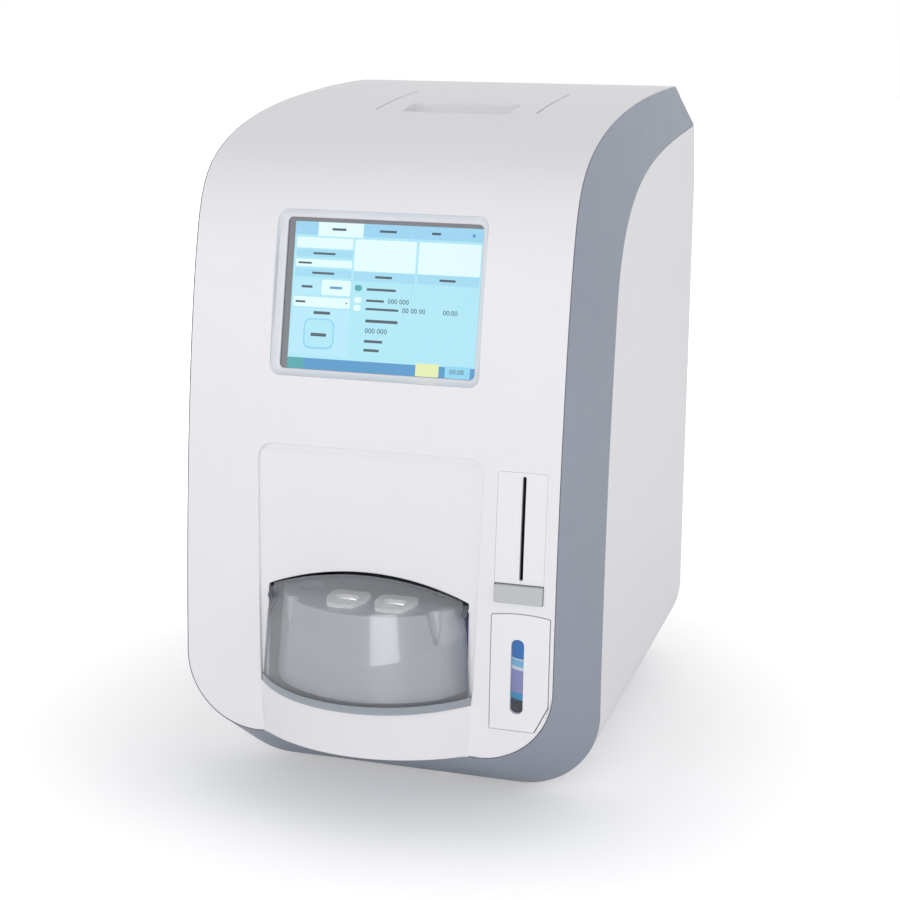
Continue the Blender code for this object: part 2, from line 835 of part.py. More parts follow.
# Bay: a shallow recess from the lip up to the display, with the arch that the carousel shows through
bay_floor_depth = BAY_DEPTH + COVER_WALL
bay_outline = ([(-BAY_FOOT_HALF, LIP_TOP), (BAY_FOOT_HALF, LIP_TOP)]
               + arc((BAY_HALF - BAY_CORNER, BAY_TOP - BAY_CORNER), BAY_CORNER, 0, 90, 4)
               + arc((-BAY_HALF + BAY_CORNER, BAY_TOP - BAY_CORNER), BAY_CORNER, 90, 180, 4))
bay_band = between(COVER_LINE, LIP_TOP - COVER_WALL, BAY_TOP + COVER_WALL)
join(front_cover, plate("bay_back", skin(bay_band, COVER_WALL / 2, bay_floor_depth),
                        -BAY_HALF - COVER_WALL, BAY_HALF + COVER_WALL, 'YZ'))
LIP_Y = front_y(LIP_TOP)
LIP_LOW = COVER_FOOT + SEAM


def lip_ring(half, bulge, back, z):
    ring = [(x, LIP_Y + v, z) for x, v in bow(half, bulge, ARC_STEPS)]
    return ring + [(half, back, z), (-half, back, z)]


lip_back = LIP_Y + COVER_WALL / 2
join(front_cover, loft("lip", [lip_ring(LIP_HALF, LIP_BULGE, lip_back, LIP_LOW),
                               lip_ring(LIP_HALF, LIP_TOP_BULGE, lip_back, LIP_TOP)]))
bay_cut = plate("bay_recess", skin(between(COVER_LINE, LIP_TOP - OVERRUN, BAY_TOP + OVERRUN),
                                   -OVERRUN, BAY_DEPTH), -HALF_WIDTH, HALF_WIDTH, 'YZ')
meet(bay_cut, plate("bay_outline", bay_outline, -HALF_DEPTH - OVERRUN, 0, 'XZ'))
cavity_half = LIP_HALF - LIP_WALL
cavity_back = LIP_Y + OVERRUN
arch = [(x, ARCH_SPRING - v) for x, v in reversed(bow(ARCH_TOP_HALF, ARCH_RISE, ARC_STEPS))]
arch_outline = [(-ARCH_HALF, LIP_TOP + SEAM), (ARCH_HALF, LIP_TOP + SEAM)] + arch
cut(front_cover, bay_cut,
    loft("lip_cavity", [
        lip_ring(cavity_half, LIP_BULGE - LIP_WALL, cavity_back, LIP_LOW + LIP_WALL),
        lip_ring(cavity_half, LIP_TOP_BULGE - LIP_WALL, cavity_back, LIP_TOP),
        lip_ring(cavity_half, LIP_TOP_BULGE - LIP_WALL, cavity_back, LIP_TOP + LIP_WALL)]),
    plate("arch_opening", arch_outline, -HALF_DEPTH - OVERRUN, cavity_back, 'XZ'))

# Band between the cover and the side panels, down both sides and under the front
corner_in = (BAND_HALF - COVER_CORNER, COVER_LOW + COVER_CORNER)
corner_out = (HALF_WIDTH - PANEL_CORNER, FLOOR + PANEL_CORNER)
band_front = BAND_LINE[-1][0]


def band_ring(inner, outer, direction):
    """One section of the band: its two seen edges and the same edges inside."""
    a = Vector(inner)
    b = Vector(outer)
    out = Vector(direction)
    span = b - a
    reach = span.dot(out)
    d = a + (span - out * reach) * (BAND_WALL / reach)
    return [tuple(a), tuple(d), tuple(b - out * BAND_WALL), tuple(b)]


band_rings = []
for inner, outer in zip(COVER_LINE, BAND_LINE):
    band_rings.append(band_ring((BAND_HALF, *inner), (HALF_WIDTH, *outer), (1, 0, 0)))
arc_in = arc(corner_in, COVER_CORNER, 0, -90, CORNER_STEPS)[1:]
arc_out = arc(corner_out, PANEL_CORNER, 0, -90, CORNER_STEPS)[1:]
for i, (inner, outer) in enumerate(zip(arc_in, arc_out)):
    angle = math.radians(-90 * (i + 1) / CORNER_STEPS)
    band_rings.append(band_ring((inner[0], front_y(inner[1]), inner[1]), (outer[0], band_front, outer[1]),
                                (math.cos(angle), 0, math.sin(angle))))
band_rings.append(band_ring((0, front_y(COVER_LOW), COVER_LOW), (0, band_front, FLOOR), (0, 0, -1)))
band_frame = loft("band_frame", band_rings, mirror=True)
band_mirror = band_frame.modifiers.new("Other side", 'MIRROR')
band_mirror.use_axis = (True, False, False)
band_mirror.use_clip = True
band_mirror.merge_threshold = WELD
node(band_frame, "band_frame", "band_plastic")

# Side panels: flat sides rolled under the body, trimmed along the band and the rear
tray_half = HALF_WIDTH - PANEL_CORNER - TRAY_INSET
panel_outline = ([(tray_half + SEAM, FLOOR)]
                 + arc(corner_out, PANEL_CORNER, -90, 0, CORNER_STEPS)
                 + [(HALF_WIDTH, BODY_HEIGHT), (HALF_WIDTH - PANEL_WALL, BODY_HEIGHT)]
                 + arc(corner_out, PANEL_CORNER - PANEL_WALL, 0, -90, CORNER_STEPS)
                 + [(tray_half + SEAM, FLOOR + PANEL_WALL)])
rear_bend = REAR_BEND_SHARE * BODY_HEIGHT
panel_trim = offset_line(BAND_LINE, SEAM)
panel_trim += [(panel_trim[-1][0], FLOOR - OVERRUN), (REAR_Y, FLOOR - OVERRUN), (REAR_Y, rear_bend)]
for side, name in ((1, "side_panel_right"), (-1, "side_panel_left")):
    outline = [(side * x, z) for x, z in panel_outline]
    panel = plate(name, outline, -HALF_DEPTH, HALF_DEPTH + OVERRUN, 'XZ')
    meet(panel, plate("panel_trim", panel_trim, -BODY_WIDTH, BODY_WIDTH, 'YZ'))
    node(panel, name, "side_plastic")

# Rear panel, upright and then leaning forward to the top
rear_half = HALF_WIDTH - PANEL_WALL - SEAM
rear_foot = FLOOR + PANEL_WALL + SEAM
rear_line = [(REAR_Y, rear_foot - OVERRUN), (REAR_Y, rear_bend),
             (TOP_REAR[0], TOP_REAR[1] - COVER_WALL - SEAM)]
rear_round = PANEL_CORNER - PANEL_WALL - SEAM
mouth = band_rings[0]
rear_silhouette = (
    [(rear_half, mouth[2][2] - 2 * SEAM), (BAND_HALF - SEAM, mouth[1][2] - 2 * SEAM),
     (BAND_HALF - SEAM, BODY_HEIGHT), (-BAND_HALF + SEAM, BODY_HEIGHT),
     (-BAND_HALF + SEAM, mouth[1][2] - 2 * SEAM), (-rear_half, mouth[2][2] - 2 * SEAM)]
    + arc((-rear_half + rear_round, rear_foot + rear_round), rear_round, 180, 270, CORNER_STEPS)
    + arc((rear_half - rear_round, rear_foot + rear_round), rear_round, 270, 360, CORNER_STEPS))
rear_panel = plate("rear_skin", skin(rear_line, 0, PANEL_WALL), -HALF_WIDTH, HALF_WIDTH, 'YZ')
meet(rear_panel, plate("rear_silhouette", rear_silhouette, 0, HALF_DEPTH + OVERRUN, 'XZ'))

# Base tray with the pillars that carry the deck
tray_front = band_front + SEAM
base_tray = plate("tray_sheet", [(-tray_half, tray_front), (tray_half, tray_front), (tray_half, REAR_Y),
                                 (-tray_half, REAR_Y)], FLOOR, FLOOR + PANEL_WALL)
for x in (-PILLAR_X, PILLAR_X):
    for y in (PILLAR_FRONT, PILLAR_REAR):
        join(base_tray, rod("pillar", (x, y), PILLAR_RADIUS, FLOOR + PANEL_WALL / 2, DECK_LOW - SEAM))
node(base_tray, "base_tray", "side_plastic")


def top_z(y):
    """The top surface's height at a place between front and rear."""
    for a, b in zip(COVER_LINE, COVER_LINE[1:]):
        if b[0] <= y <= a[0]:
            return a[1] + (b[1] - a[1]) * (y - a[0]) / (b[0] - a[0])
    return BODY_HEIGHT


# Grip plate in the top, with its sunk pocket
cut(front_cover, plate("grip_opening", rounded(GRIP_LEFT, GRIP_RIGHT, GRIP_FRONT, GRIP_REAR, GRIP_CORNER),
                       BODY_HEIGHT - OVERRUN, BODY_HEIGHT + OVERRUN))
grip_line = between(COVER_LINE, GRIP_FRONT - OVERRUN, GRIP_REAR + OVERRUN, axis=0)
grip_plate = plate("grip_skin", skin(grip_line, 0, COVER_WALL), -HALF_WIDTH, HALF_WIDTH, 'YZ')
meet(grip_plate, plate("grip_outline", rounded(GRIP_LEFT + SEAM, GRIP_RIGHT - SEAM, GRIP_FRONT + SEAM,
                                               GRIP_REAR - SEAM, GRIP_CORNER - SEAM),
                       BODY_HEIGHT - OVERRUN, BODY_HEIGHT + OVERRUN))
pocket_top = top_z((POCKET_FRONT + POCKET_REAR) / 2)


def pocket_ring(grow, slope, z):
    outline = rounded(POCKET_LEFT - grow, POCKET_RIGHT + grow, POCKET_FRONT - grow,
                      POCKET_REAR - slope + grow, POCKET_CORNER + grow)
    return [(x, y, z) for x, y in outline]


pocket_floor = pocket_top - POCKET_DEPTH
join(grip_plate, loft("pocket_shell", [
    pocket_ring(POCKET_WALL, 0, pocket_top - COVER_WALL / 2),
    pocket_ring(POCKET_WALL, POCKET_SLOPE, pocket_floor - POCKET_WALL)]))
cut(grip_plate, loft("pocket_space", [
    pocket_ring(0, 0, pocket_top + COVER_WALL),
    pocket_ring(0, 0, pocket_top - COVER_WALL / 2),
    pocket_ring(0, POCKET_SLOPE, pocket_floor)]))
node(grip_plate, "grip_plate", "white_plastic")

# Deck: the sheet that carries the carousel, the bottle and the fluid works
DECK_TOP = DECK_LOW + DECK_WALL
bore_radius = SHAFT_RADIUS + SEAM
bush_radius = bore_radius + BUSH_WALL

# Printer: opening, door with its paper slot, release bar
printer_opening = plate("printer_opening", rounded(PRINTER_LEFT, PRINTER_RIGHT, BAR_LOW, PRINTER_HIGH,
                                                   PRINTER_CORNER),
                        -HALF_DEPTH - OVERRUN, front_y(PRINTER_HIGH) + OVERRUN, 'XZ')
cut(front_cover, printer_opening)
door_low = PRINTER_LOW + SEAM
door_high = PRINTER_HIGH - SEAM
door_pivot = pivot("printer_door_hinge", (SLOT_X, front_y(door_high), door_high))
printer_door = plate("printer_door", skin(between(COVER_LINE, door_low, door_high), 0, DOOR_WALL),
                     PRINTER_LEFT + SEAM, PRINTER_RIGHT - SEAM, 'YZ')
cut(printer_door, box("paper_slot",
                      (SLOT_X - SLOT_WIDTH / 2, -HALF_DEPTH, PRINTER_LOW + SLOT_MARGIN),
                      (SLOT_X + SLOT_WIDTH / 2, front_y(PRINTER_HIGH) + OVERRUN,
                       PRINTER_HIGH - SLOT_MARGIN)))
node(printer_door, "printer_door", "white_plastic", door_pivot)
bar_low = BAR_LOW + SEAM
bar_high = PRINTER_LOW - SEAM
bar_outline = [(front_y(bar_low) - BAR_PROUD, bar_low), (front_y(bar_low) + BAR_DEPTH, bar_low),
               (front_y(bar_high) + BAR_DEPTH, bar_high), (front_y(bar_high) - BAR_PROUD, bar_high)]
bar_pivot = pivot("release_bar_guide", (SLOT_X, front_y(bar_low), (bar_low + bar_high) / 2))
release_bar = plate("release_bar", bar_outline, PRINTER_LEFT + SEAM, PRINTER_RIGHT - SEAM, 'YZ')
node(release_bar, "release_bar", "light_plastic", bar_pivot)

# Printer body: a tub behind the opening, with the print head on its right wall
tub_gap = COVER_WALL + SEAM
tub_outline = [(front_y(PRINTER_LOW) + tub_gap, PRINTER_LOW), (TUB_REAR, PRINTER_LOW),
               (TUB_REAR, PRINTER_HIGH), (front_y(PRINTER_HIGH) + tub_gap, PRINTER_HIGH)]
printer_body = plate("printer_body", tub_outline, PRINTER_LEFT - TUB_WALL, PRINTER_RIGHT + TUB_WALL, 'YZ')
tub_floor = PRINTER_LOW + TUB_WALL
tub_roof = PRINTER_HIGH - TUB_WALL
cut(printer_body, box("tub_space", (PRINTER_LEFT, -HALF_DEPTH, tub_floor),
                      (PRINTER_RIGHT, TUB_REAR - TUB_WALL, tub_roof)))
print_middle = (PRINTER_LOW + PRINTER_HIGH) / 2
platen_x = SLOT_X - PLATEN_RADIUS
join(printer_body, box("print_head",
                       (SLOT_X + SEAM, PLATEN_Y - HEAD_DEPTH / 2, print_middle - HEAD_HEIGHT / 2),
                       (PRINTER_RIGHT + TUB_WALL / 2, PLATEN_Y + HEAD_DEPTH / 2,
                        print_middle + HEAD_HEIGHT / 2)))
node(printer_body, "printer_body", "black_plastic")
platen_pivot = pivot("platen_axis", (platen_x, PLATEN_Y, tub_floor))
platen_roller = rod("platen_roller", (platen_x, PLATEN_Y), PLATEN_RADIUS, tub_floor + SEAM,
                    tub_roof - SEAM, sides=20)
node(platen_roller, "platen_roller", "rubber", platen_pivot)
paper_spindle = rod("paper_spindle", (ROLL_X, ROLL_Y), SPINDLE_RADIUS, tub_floor + SEAM, tub_roof - SEAM,
                    sides=20)
node(paper_spindle, "paper_spindle", "light_plastic")
roll_pivot = pivot("paper_roll_axis", (ROLL_X, ROLL_Y, tub_floor))
paper_roll = turned("paper_roll", [(ROLL_RADIUS, ROLL_WIDTH), (ROLL_RADIUS, 0),
                                   (SPINDLE_RADIUS + SEAM, 0), (SPINDLE_RADIUS + SEAM, ROLL_WIDTH)],
                    (ROLL_X, ROLL_Y, print_middle - ROLL_WIDTH / 2), sides=28, closed=True)
node(paper_roll, "paper_roll", "paper", roll_pivot)


# Reagent door with its window
def reagent_outline(inset):
    left = REAGENT_LEFT + inset
    right = REAGENT_RIGHT - inset
    low = REAGENT_LOW + inset
    spring = REAGENT_HIGH - inset - REAGENT_RISE
    top = [((left + right) / 2 + x, spring - v)
           for x, v in reversed(bow((right - left) / 2, REAGENT_RISE, 6))]
    return [(left, low), (right - REAGENT_CUT_WIDTH, low), (right, low + REAGENT_CUT_HEIGHT)] + top


reagent_rear = front_y(REAGENT_HIGH) + OVERRUN
cut(front_cover, plate("reagent_opening", reagent_outline(0), -HALF_DEPTH - OVERRUN, reagent_rear, 'XZ'))
reagent_line = between(COVER_LINE, REAGENT_LOW - REAGENT_RISE, REAGENT_HIGH + REAGENT_RISE)
reagent_pivot = pivot("reagent_door_hinge", (REAGENT_LEFT + SEAM, front_y(REAGENT_LOW), REAGENT_LOW))
reagent_door = plate("reagent_door_skin", skin(reagent_line, 0, DOOR_WALL), REAGENT_LEFT - OVERRUN,
                     REAGENT_RIGHT + OVERRUN, 'YZ')
meet(reagent_door, plate("reagent_door_outline", reagent_outline(SEAM), -HALF_DEPTH - OVERRUN,
                         reagent_rear, 'XZ'))


def window_outline(inset):
    return rounded(WINDOW_X - WINDOW_WIDTH / 2 + inset, WINDOW_X + WINDOW_WIDTH / 2 - inset,
                   WINDOW_LOW + inset, WINDOW_HIGH - inset, WINDOW_WIDTH / 2 - inset - SEAM, 5)


cut(reagent_door, plate("window_opening", window_outline(0), -HALF_DEPTH - OVERRUN, reagent_rear, 'XZ'))
node(reagent_door, "reagent_door", "white_plastic", reagent_pivot)
door_window = plate("pane_skin", skin(reagent_line, PANE_INSET, PANE_INSET + PANE_WALL), REAGENT_LEFT,
                    REAGENT_RIGHT, 'YZ')
meet(door_window, plate("pane_outline", window_outline(SEAM), -HALF_DEPTH - OVERRUN, reagent_rear, 'XZ'))
node(door_window, "door_window", "clear_plastic", reagent_pivot)

# Reagent bottle in its holder on the deck
holder_low = DECK_TOP + SEAM
holder_bore = BOTTLE_RADIUS + SEAM
holder_radius = holder_bore + HOLDER_WALL
bottle_holder = turned("bottle_holder", [
    (0, HOLDER_FLOOR), (holder_bore, HOLDER_FLOOR), (holder_bore, HOLDER_HEIGHT),
    (holder_radius, HOLDER_HEIGHT), (holder_radius, 0), (0, 0)],
    (BOTTLE_X, BOTTLE_Y, holder_low), sides=28)
node(bottle_holder, "bottle_holder", "black_plastic")
bottle_low = holder_low + HOLDER_FLOOR + SEAM
bottle_pivot = pivot("bottle_axis", (BOTTLE_X, BOTTLE_Y, bottle_low))
reagent_bottle = turned("reagent_bottle", [
    (0, BOTTLE_HEIGHT), (BOTTLE_NECK, BOTTLE_HEIGHT), (BOTTLE_NECK, BOTTLE_SHOULDER + BOTTLE_SLOPE),
    (BOTTLE_RADIUS, BOTTLE_SHOULDER), (BOTTLE_RADIUS, 0), (0, 0)],
    (BOTTLE_X, BOTTLE_Y, bottle_low), sides=28)
node(reagent_bottle, "reagent_bottle", "bottle_plastic", bottle_pivot)
cap_bore = BOTTLE_NECK + SEAM
cap_floor = CAP_HEIGHT - CAP_WALL
cap_low = bottle_low + BOTTLE_HEIGHT + SEAM - cap_floor
bottle_cap = turned("bottle_cap", [
    (0, CAP_HEIGHT), (CAP_RADIUS, CAP_HEIGHT), (CAP_RADIUS, 0), (cap_bore, 0), (cap_bore, cap_floor),
    (0, cap_floor)], (BOTTLE_X, BOTTLE_Y, cap_low), sides=28)
node(bottle_cap, "bottle_cap", "cap_plastic", bottle_pivot)


# Clear cover: a creased visor over the front of the carousel
def bay_y(z):
    return front_y(z) + BAY_DEPTH


def visor_row(half, front, end_z, middle_z, steps=CLEAR_STEPS):
    """A row of the visor: its ends lie close to the bay floor and its middle stands out to front."""
    end_y = bay_y(end_z) - CLEAR_WALL - 2 * SEAM
    row = []
    for x, v in bow(half, end_y - front, steps):
        rise = middle_z + (end_z - middle_z) * (x / half) ** 2
        row.append((x, end_y + v, rise))
    return row


visor_low = LIP_TOP + SEAM
visor_front = -HALF_DEPTH
flange_top = visor_low + CLEAR_FLANGE
rim_y = bay_y(RIM_Z) - 2 * SEAM
visor_rows = [
    visor_row(LIP_HALF, visor_front, visor_low, visor_low),
    visor_row(LIP_HALF, visor_front, flange_top, flange_top),
    visor_row(LIP_HALF - CLEAR_STEP, visor_front + CLEAR_STEP, flange_top + SEAM, flange_top + SEAM),
    visor_row(CREASE_HALF, visor_front + CLEAR_STEP, CREASE_END, CREASE_MIDDLE),
    visor_row(BROW_HALF, visor_front + BROW_SETBACK, BROW_Z, BROW_Z),
    [(RIM_HALF * (2 * i / CLEAR_STEPS - 1), rim_y,
      RIM_Z + RIM_RISE * (1 - (2 * i / CLEAR_STEPS - 1) ** 2)) for i in range(CLEAR_STEPS + 1)],
]
visor_faces = []
wide = CLEAR_STEPS + 1
for r in range(len(visor_rows) - 1):
    for i in range(CLEAR_STEPS):
        a = r * wide + i
        visor_faces.append((a, a + 1, a + 1 + wide, a + wide))
crease_row, brow_row, rim_row = (k * wide for k in (3, 4, 5))
visor_faces.append((crease_row, brow_row, rim_row))
visor_faces.append((crease_row + CLEAR_STEPS, rim_row + CLEAR_STEPS, brow_row + CLEAR_STEPS))
visor_mesh = bpy.data.meshes.new("carousel_cover")
visor_mesh.from_pydata([point for row in visor_rows for point in row], [], visor_faces)
hinge_y = bay_y(HINGE_Z) + COVER_WALL / 2
visor_pivot = pivot("carousel_cover_hinge", (0, hinge_y, HINGE_Z))
carousel_cover = new_shape("carousel_cover", visor_mesh)
shell = carousel_cover.modifiers.new("Wall", 'SOLIDIFY')
shell.thickness = CLEAR_WALL
shell.offset = -1
shell.use_even_offset = True
lug_out = ARCH_TOP_HALF - LUG_INSET
lug_in = lug_out - LUG_WALL
lug_front = rim_y - LUG_REACH
lug_outline = ([(lug_front, HINGE_Z - LUG_RADIUS), (hinge_y, HINGE_Z - LUG_RADIUS)]
               + arc((hinge_y, HINGE_Z), LUG_RADIUS, -90, 90, 8)[1:]
               + [(lug_front, HINGE_Z - LUG_RADIUS / 3)])
lug_hole = HINGE_RADIUS + SEAM
for side in (-1, 1):
    low, high = sorted((side * lug_in, side * lug_out))
    lug = plate("cover_lug", lug_outline, low, high, 'YZ')
    cut(lug, rod("lug_hole", (hinge_y, HINGE_Z), lug_hole, low - LUG_WALL, high + LUG_WALL, 'X', sides=16))
    join(carousel_cover, lug)
    pin_end = ARCH_TOP_HALF + LUG_RADIUS
    pin_low, pin_high = sorted((side * lug_in, side * pin_end))
    hole_low, hole_high = sorted((side * lug_out, side * (pin_end + SEAM)))
    cut(front_cover, rod("pin_hole", (hinge_y, HINGE_Z), lug_hole, hole_low, hole_high, 'X', sides=16))
    cover_pin = rod("cover_pin", (hinge_y, HINGE_Z), HINGE_RADIUS, pin_low, pin_high, 'X', sides=12)
    node(cover_pin, "cover_pin_right" if side > 0 else "cover_pin_left", "steel")
node(carousel_cover, "carousel_cover", "clear_plastic", visor_pivot)


# Carousel: four bulged faces, a notch at each corner and a pair of wells at each station
def drum_ring(half, bulge, z):
    side = [(x, v - half) for x, v in bow(half, bulge, DRUM_STEPS)[:-1]]
    ring = []
    for k in range(4):
        turn = Matrix.Rotation(math.radians(90 * k), 2)
        for point in side:
            x, y = turn @ Vector(point)
            ring.append((x, CAROUSEL_Y + y, z))
    return ring


carousel_pivot = pivot("carousel_axis", (0, CAROUSEL_Y, DRUM_LOW))
carousel = loft("carousel", [drum_ring(DRUM_FOOT_HALF, DRUM_FOOT_BULGE, DRUM_LOW),
                             drum_ring(DRUM_TOP_HALF, DRUM_TOP_BULGE, DRUM_HIGH)])
notch_high = DRUM_HIGH + NOTCH_RADIUS
for k in range(STATIONS):
    corner = Matrix.Rotation(math.radians(90 * k + 45), 2) @ Vector((0, -DRUM_TOP_HALF * math.sqrt(2)))
    cut(carousel, rod("corner_notch", (corner.x, CAROUSEL_Y + corner.y), 0, NOTCH_LOW, notch_high,
                      sides=8, end_radius=NOTCH_RADIUS))
    for offset in (WELL_LEFT, WELL_RIGHT):
        well = Matrix.Rotation(math.radians(90 * k), 2) @ Vector((offset, -WELL_REACH))
        cut(carousel, rod("well", (well.x, CAROUSEL_Y + well.y), WELL_RADIUS, DRUM_HIGH - WELL_DEPTH,
                          DRUM_HIGH + WELL_RADIUS))
cut(carousel, rod("shaft_seat", (0, CAROUSEL_Y), bore_radius, DRUM_LOW - OVERRUN,
                  DRUM_LOW + SHAFT_SEAT + SEAM))
node(carousel, "carousel", "grey_plastic", carousel_pivot)
carousel_shaft = rod("carousel_shaft", (0, CAROUSEL_Y), SHAFT_RADIUS, SHAFT_LOW, DRUM_LOW + SHAFT_SEAT)
node(carousel_shaft, "carousel_shaft", "steel", carousel_pivot)
carousel_bearing = turned("carousel_bearing", [
    (bush_radius + BUSH_FLANGE, DECK_TOP + BUSH_DEPTH), (bush_radius + BUSH_FLANGE, DECK_TOP + SEAM),
    (bush_radius, DECK_TOP + SEAM), (bush_radius, DECK_LOW - BUSH_DEPTH),
    (bore_radius, DECK_LOW - BUSH_DEPTH), (bore_radius, DECK_TOP + BUSH_DEPTH)],
    (0, CAROUSEL_Y, 0), sides=24, closed=True)
node(carousel_bearing, "carousel_bearing", "brass")
pulley_high = PULLEY_LOW + PULLEY_HEIGHT
carousel_pulley = turned("carousel_pulley", [
    (PULLEY_RADIUS, PULLEY_HEIGHT), (PULLEY_RADIUS, 0), (bore_radius, 0), (bore_radius, PULLEY_HEIGHT)],
    (0, CAROUSEL_Y, PULLEY_LOW), sides=32, closed=True)
node(carousel_pulley, "carousel_pulley", "aluminium", carousel_pivot)

# Cartridges in the two wells of the front station
for offset, name in ((WELL_LEFT, "cartridge_left"), (WELL_RIGHT, "cartridge_right")):
    collar_low = DRUM_HIGH + SEAM
    collar_high = collar_low + COLLAR_WALL
    cup_y = CAROUSEL_Y - WELL_REACH
    cup_low = DRUM_HIGH - WELL_DEPTH + SEAM
    half_cartridge = CARTRIDGE_WIDTH / 2
    cartridge_pivot = pivot(name + "_axis", (offset, cup_y, collar_low))
    cartridge = plate(name, rounded(offset - half_cartridge, offset + half_cartridge, CARTRIDGE_FRONT,
                                    CARTRIDGE_REAR, CARTRIDGE_CORNER), collar_low, collar_high)
    join(cartridge, rod("cup", (offset, cup_y), WELL_RADIUS - SEAM, cup_low, collar_low + COLLAR_WALL / 2))
    half_mouth = CUP_MOUTH_WIDTH / 2
    mouth_outline = rounded(offset - half_mouth, offset + half_mouth, CUP_MOUTH_FRONT, CUP_MOUTH_REAR,
                            CUP_MOUTH_CORNER)
    cut(cartridge, rod("cup_space", (offset, cup_y), WELL_RADIUS - SEAM - CUP_WALL, cup_low + CUP_WALL,
                       collar_low),
        plate("cup_mouth", mouth_outline, collar_low - COLLAR_WALL, collar_high + COLLAR_WALL))
    node(cartridge, name, "white_plastic", cartridge_pivot)

# Heated plate under the carousel, on three legs
incubator_plate = turned("incubator_plate", [
    (HEATER_RADIUS, DRUM_LOW - 2 * SEAM), (HEATER_RADIUS, DRUM_LOW - 2 * SEAM - HEATER_WALL),
    (HEATER_BORE, DRUM_LOW - 2 * SEAM - HEATER_WALL), (HEATER_BORE, DRUM_LOW - 2 * SEAM)],
    (0, CAROUSEL_Y, 0), sides=36, closed=True)
for k in range(3):
    leg = Matrix.Rotation(math.radians(120 * k), 2) @ Vector((0, HEATER_LEG_REACH))
    join(incubator_plate, rod("plate_leg", (leg.x, CAROUSEL_Y + leg.y), HEATER_LEG, DECK_TOP + SEAM,
                              DRUM_LOW - HEATER_WALL, sides=12))
node(incubator_plate, "incubator_plate", "aluminium")

# Carousel motor on the deck, its pulley under the deck and the belt
motor_pivot = pivot("motor_axis", (MOTOR_X, MOTOR_Y, PULLEY_LOW))
half_motor = MOTOR_SIDE / 2
carousel_motor = plate("carousel_motor", rounded(MOTOR_X - half_motor, MOTOR_X + half_motor,
                                                 MOTOR_Y - half_motor, MOTOR_Y + half_motor,
                                                 MOTOR_CORNER, 3),
                       DECK_TOP + SEAM, DECK_TOP + SEAM + MOTOR_HEIGHT)
node(carousel_motor, "carousel_motor", "black_plastic")
motor_pulley = rod("motor_pulley", (MOTOR_X, MOTOR_Y), MOTOR_PULLEY_RADIUS, PULLEY_LOW, pulley_high)
join(motor_pulley, rod("motor_shaft", (MOTOR_X, MOTOR_Y), MOTOR_SHAFT, PULLEY_LOW + PULLEY_HEIGHT / 2,
                       DECK_TOP, sides=16))
node(motor_pulley, "motor_pulley", "aluminium", motor_pivot)


def belt_line(clearance):
    """The closed path round both pulleys at a clearance from them."""
    first = Vector((0, CAROUSEL_Y))
    second = Vector((MOTOR_X, MOTOR_Y))
    span = second - first
    turn = math.degrees(math.atan2(span.y, span.x))
    lean = math.degrees(math.acos((PULLEY_RADIUS - MOTOR_PULLEY_RADIUS) / span.length))
    big = arc(first, PULLEY_RADIUS + clearance, turn + lean, turn + 360 - lean, 14)
    small = arc(second, MOTOR_PULLEY_RADIUS + clearance, turn - lean, turn + lean, 8)
    return big + small


drive_belt = plate("drive_belt", belt_line(SEAM + BELT_WALL), PULLEY_LOW + BELT_MARGIN,
                   pulley_high - BELT_MARGIN, holes=(belt_line(SEAM),))
node(drive_belt, "drive_belt", "rubber")


# Chassis: the deck and the upright wall behind it, one folded sheet
def mirrored(points):
    return points + [(-x, y) for x, y in reversed(points)]


chassis = plate("chassis", mirrored([(DECK_FRONT_HALF, DECK_FRONT), (DECK_HALF, DECK_SHOULDER),
                                     (DECK_HALF, DECK_REAR)]), DECK_LOW, DECK_TOP)
join(chassis, box("upright_wall", (-WALL_HALF, DECK_REAR - DECK_WALL, DECK_LOW + DECK_WALL / 2),
                  (WALL_HALF, DECK_REAR, WALL_HIGH)))
cut(chassis, rod("bearing_hole", (0, CAROUSEL_Y), bush_radius + SEAM, DECK_LOW - DECK_WALL,
                 DECK_TOP + DECK_WALL),
    rod("motor_hole", (MOTOR_X, MOTOR_Y), MOTOR_SHAFT + SEAM, DECK_LOW - DECK_WALL,
        DECK_TOP + DECK_WALL, sides=16))
node(chassis, "chassis", "zinc_sheet")

# Measuring head: column with two guide rods, carriage with nozzles, lead screw and motor
on_deck = DECK_TOP + SEAM
head_column = box("head_column", (-HEAD_HALF, HEAD_REAR - HEAD_WALL, on_deck),
                  (HEAD_HALF, HEAD_REAR, HEAD_SHELF + HEAD_SHELF_WALL))
shelf_high = HEAD_SHELF + HEAD_SHELF_WALL
head_foot = on_deck + HEAD_WALL
join(head_column,
     box("head_foot", (-HEAD_HALF, HEAD_FRONT, on_deck), (HEAD_HALF, HEAD_REAR - HEAD_WALL / 2, head_foot)),
     box("head_shelf", (-HEAD_HALF, HEAD_FRONT, HEAD_SHELF),
         (HEAD_HALF, HEAD_REAR - HEAD_WALL / 2, shelf_high)))
for x in (-GUIDE_X, GUIDE_X):
    join(head_column, rod("guide_rod", (x, GUIDE_Y), GUIDE_RADIUS, head_foot - HEAD_WALL / 2,
                          HEAD_SHELF + HEAD_SHELF_WALL / 2, sides=12))
cut(head_column, rod("screw_hole", (0, GUIDE_Y), SCREW_NECK + SEAM, HEAD_SHELF - HEAD_WALL,
                     shelf_high + HEAD_WALL, sides=12))
node(head_column, "head_column", "aluminium")
carriage_pivot = pivot("carriage_guide", (0, GUIDE_Y, CARRIAGE_LOW))
head_carriage = box("head_carriage", (ARM_LEFT, CARRIAGE_FRONT, CARRIAGE_LOW),
                    (-ARM_LEFT, CARRIAGE_REAR, CARRIAGE_LOW + CARRIAGE_HEIGHT))
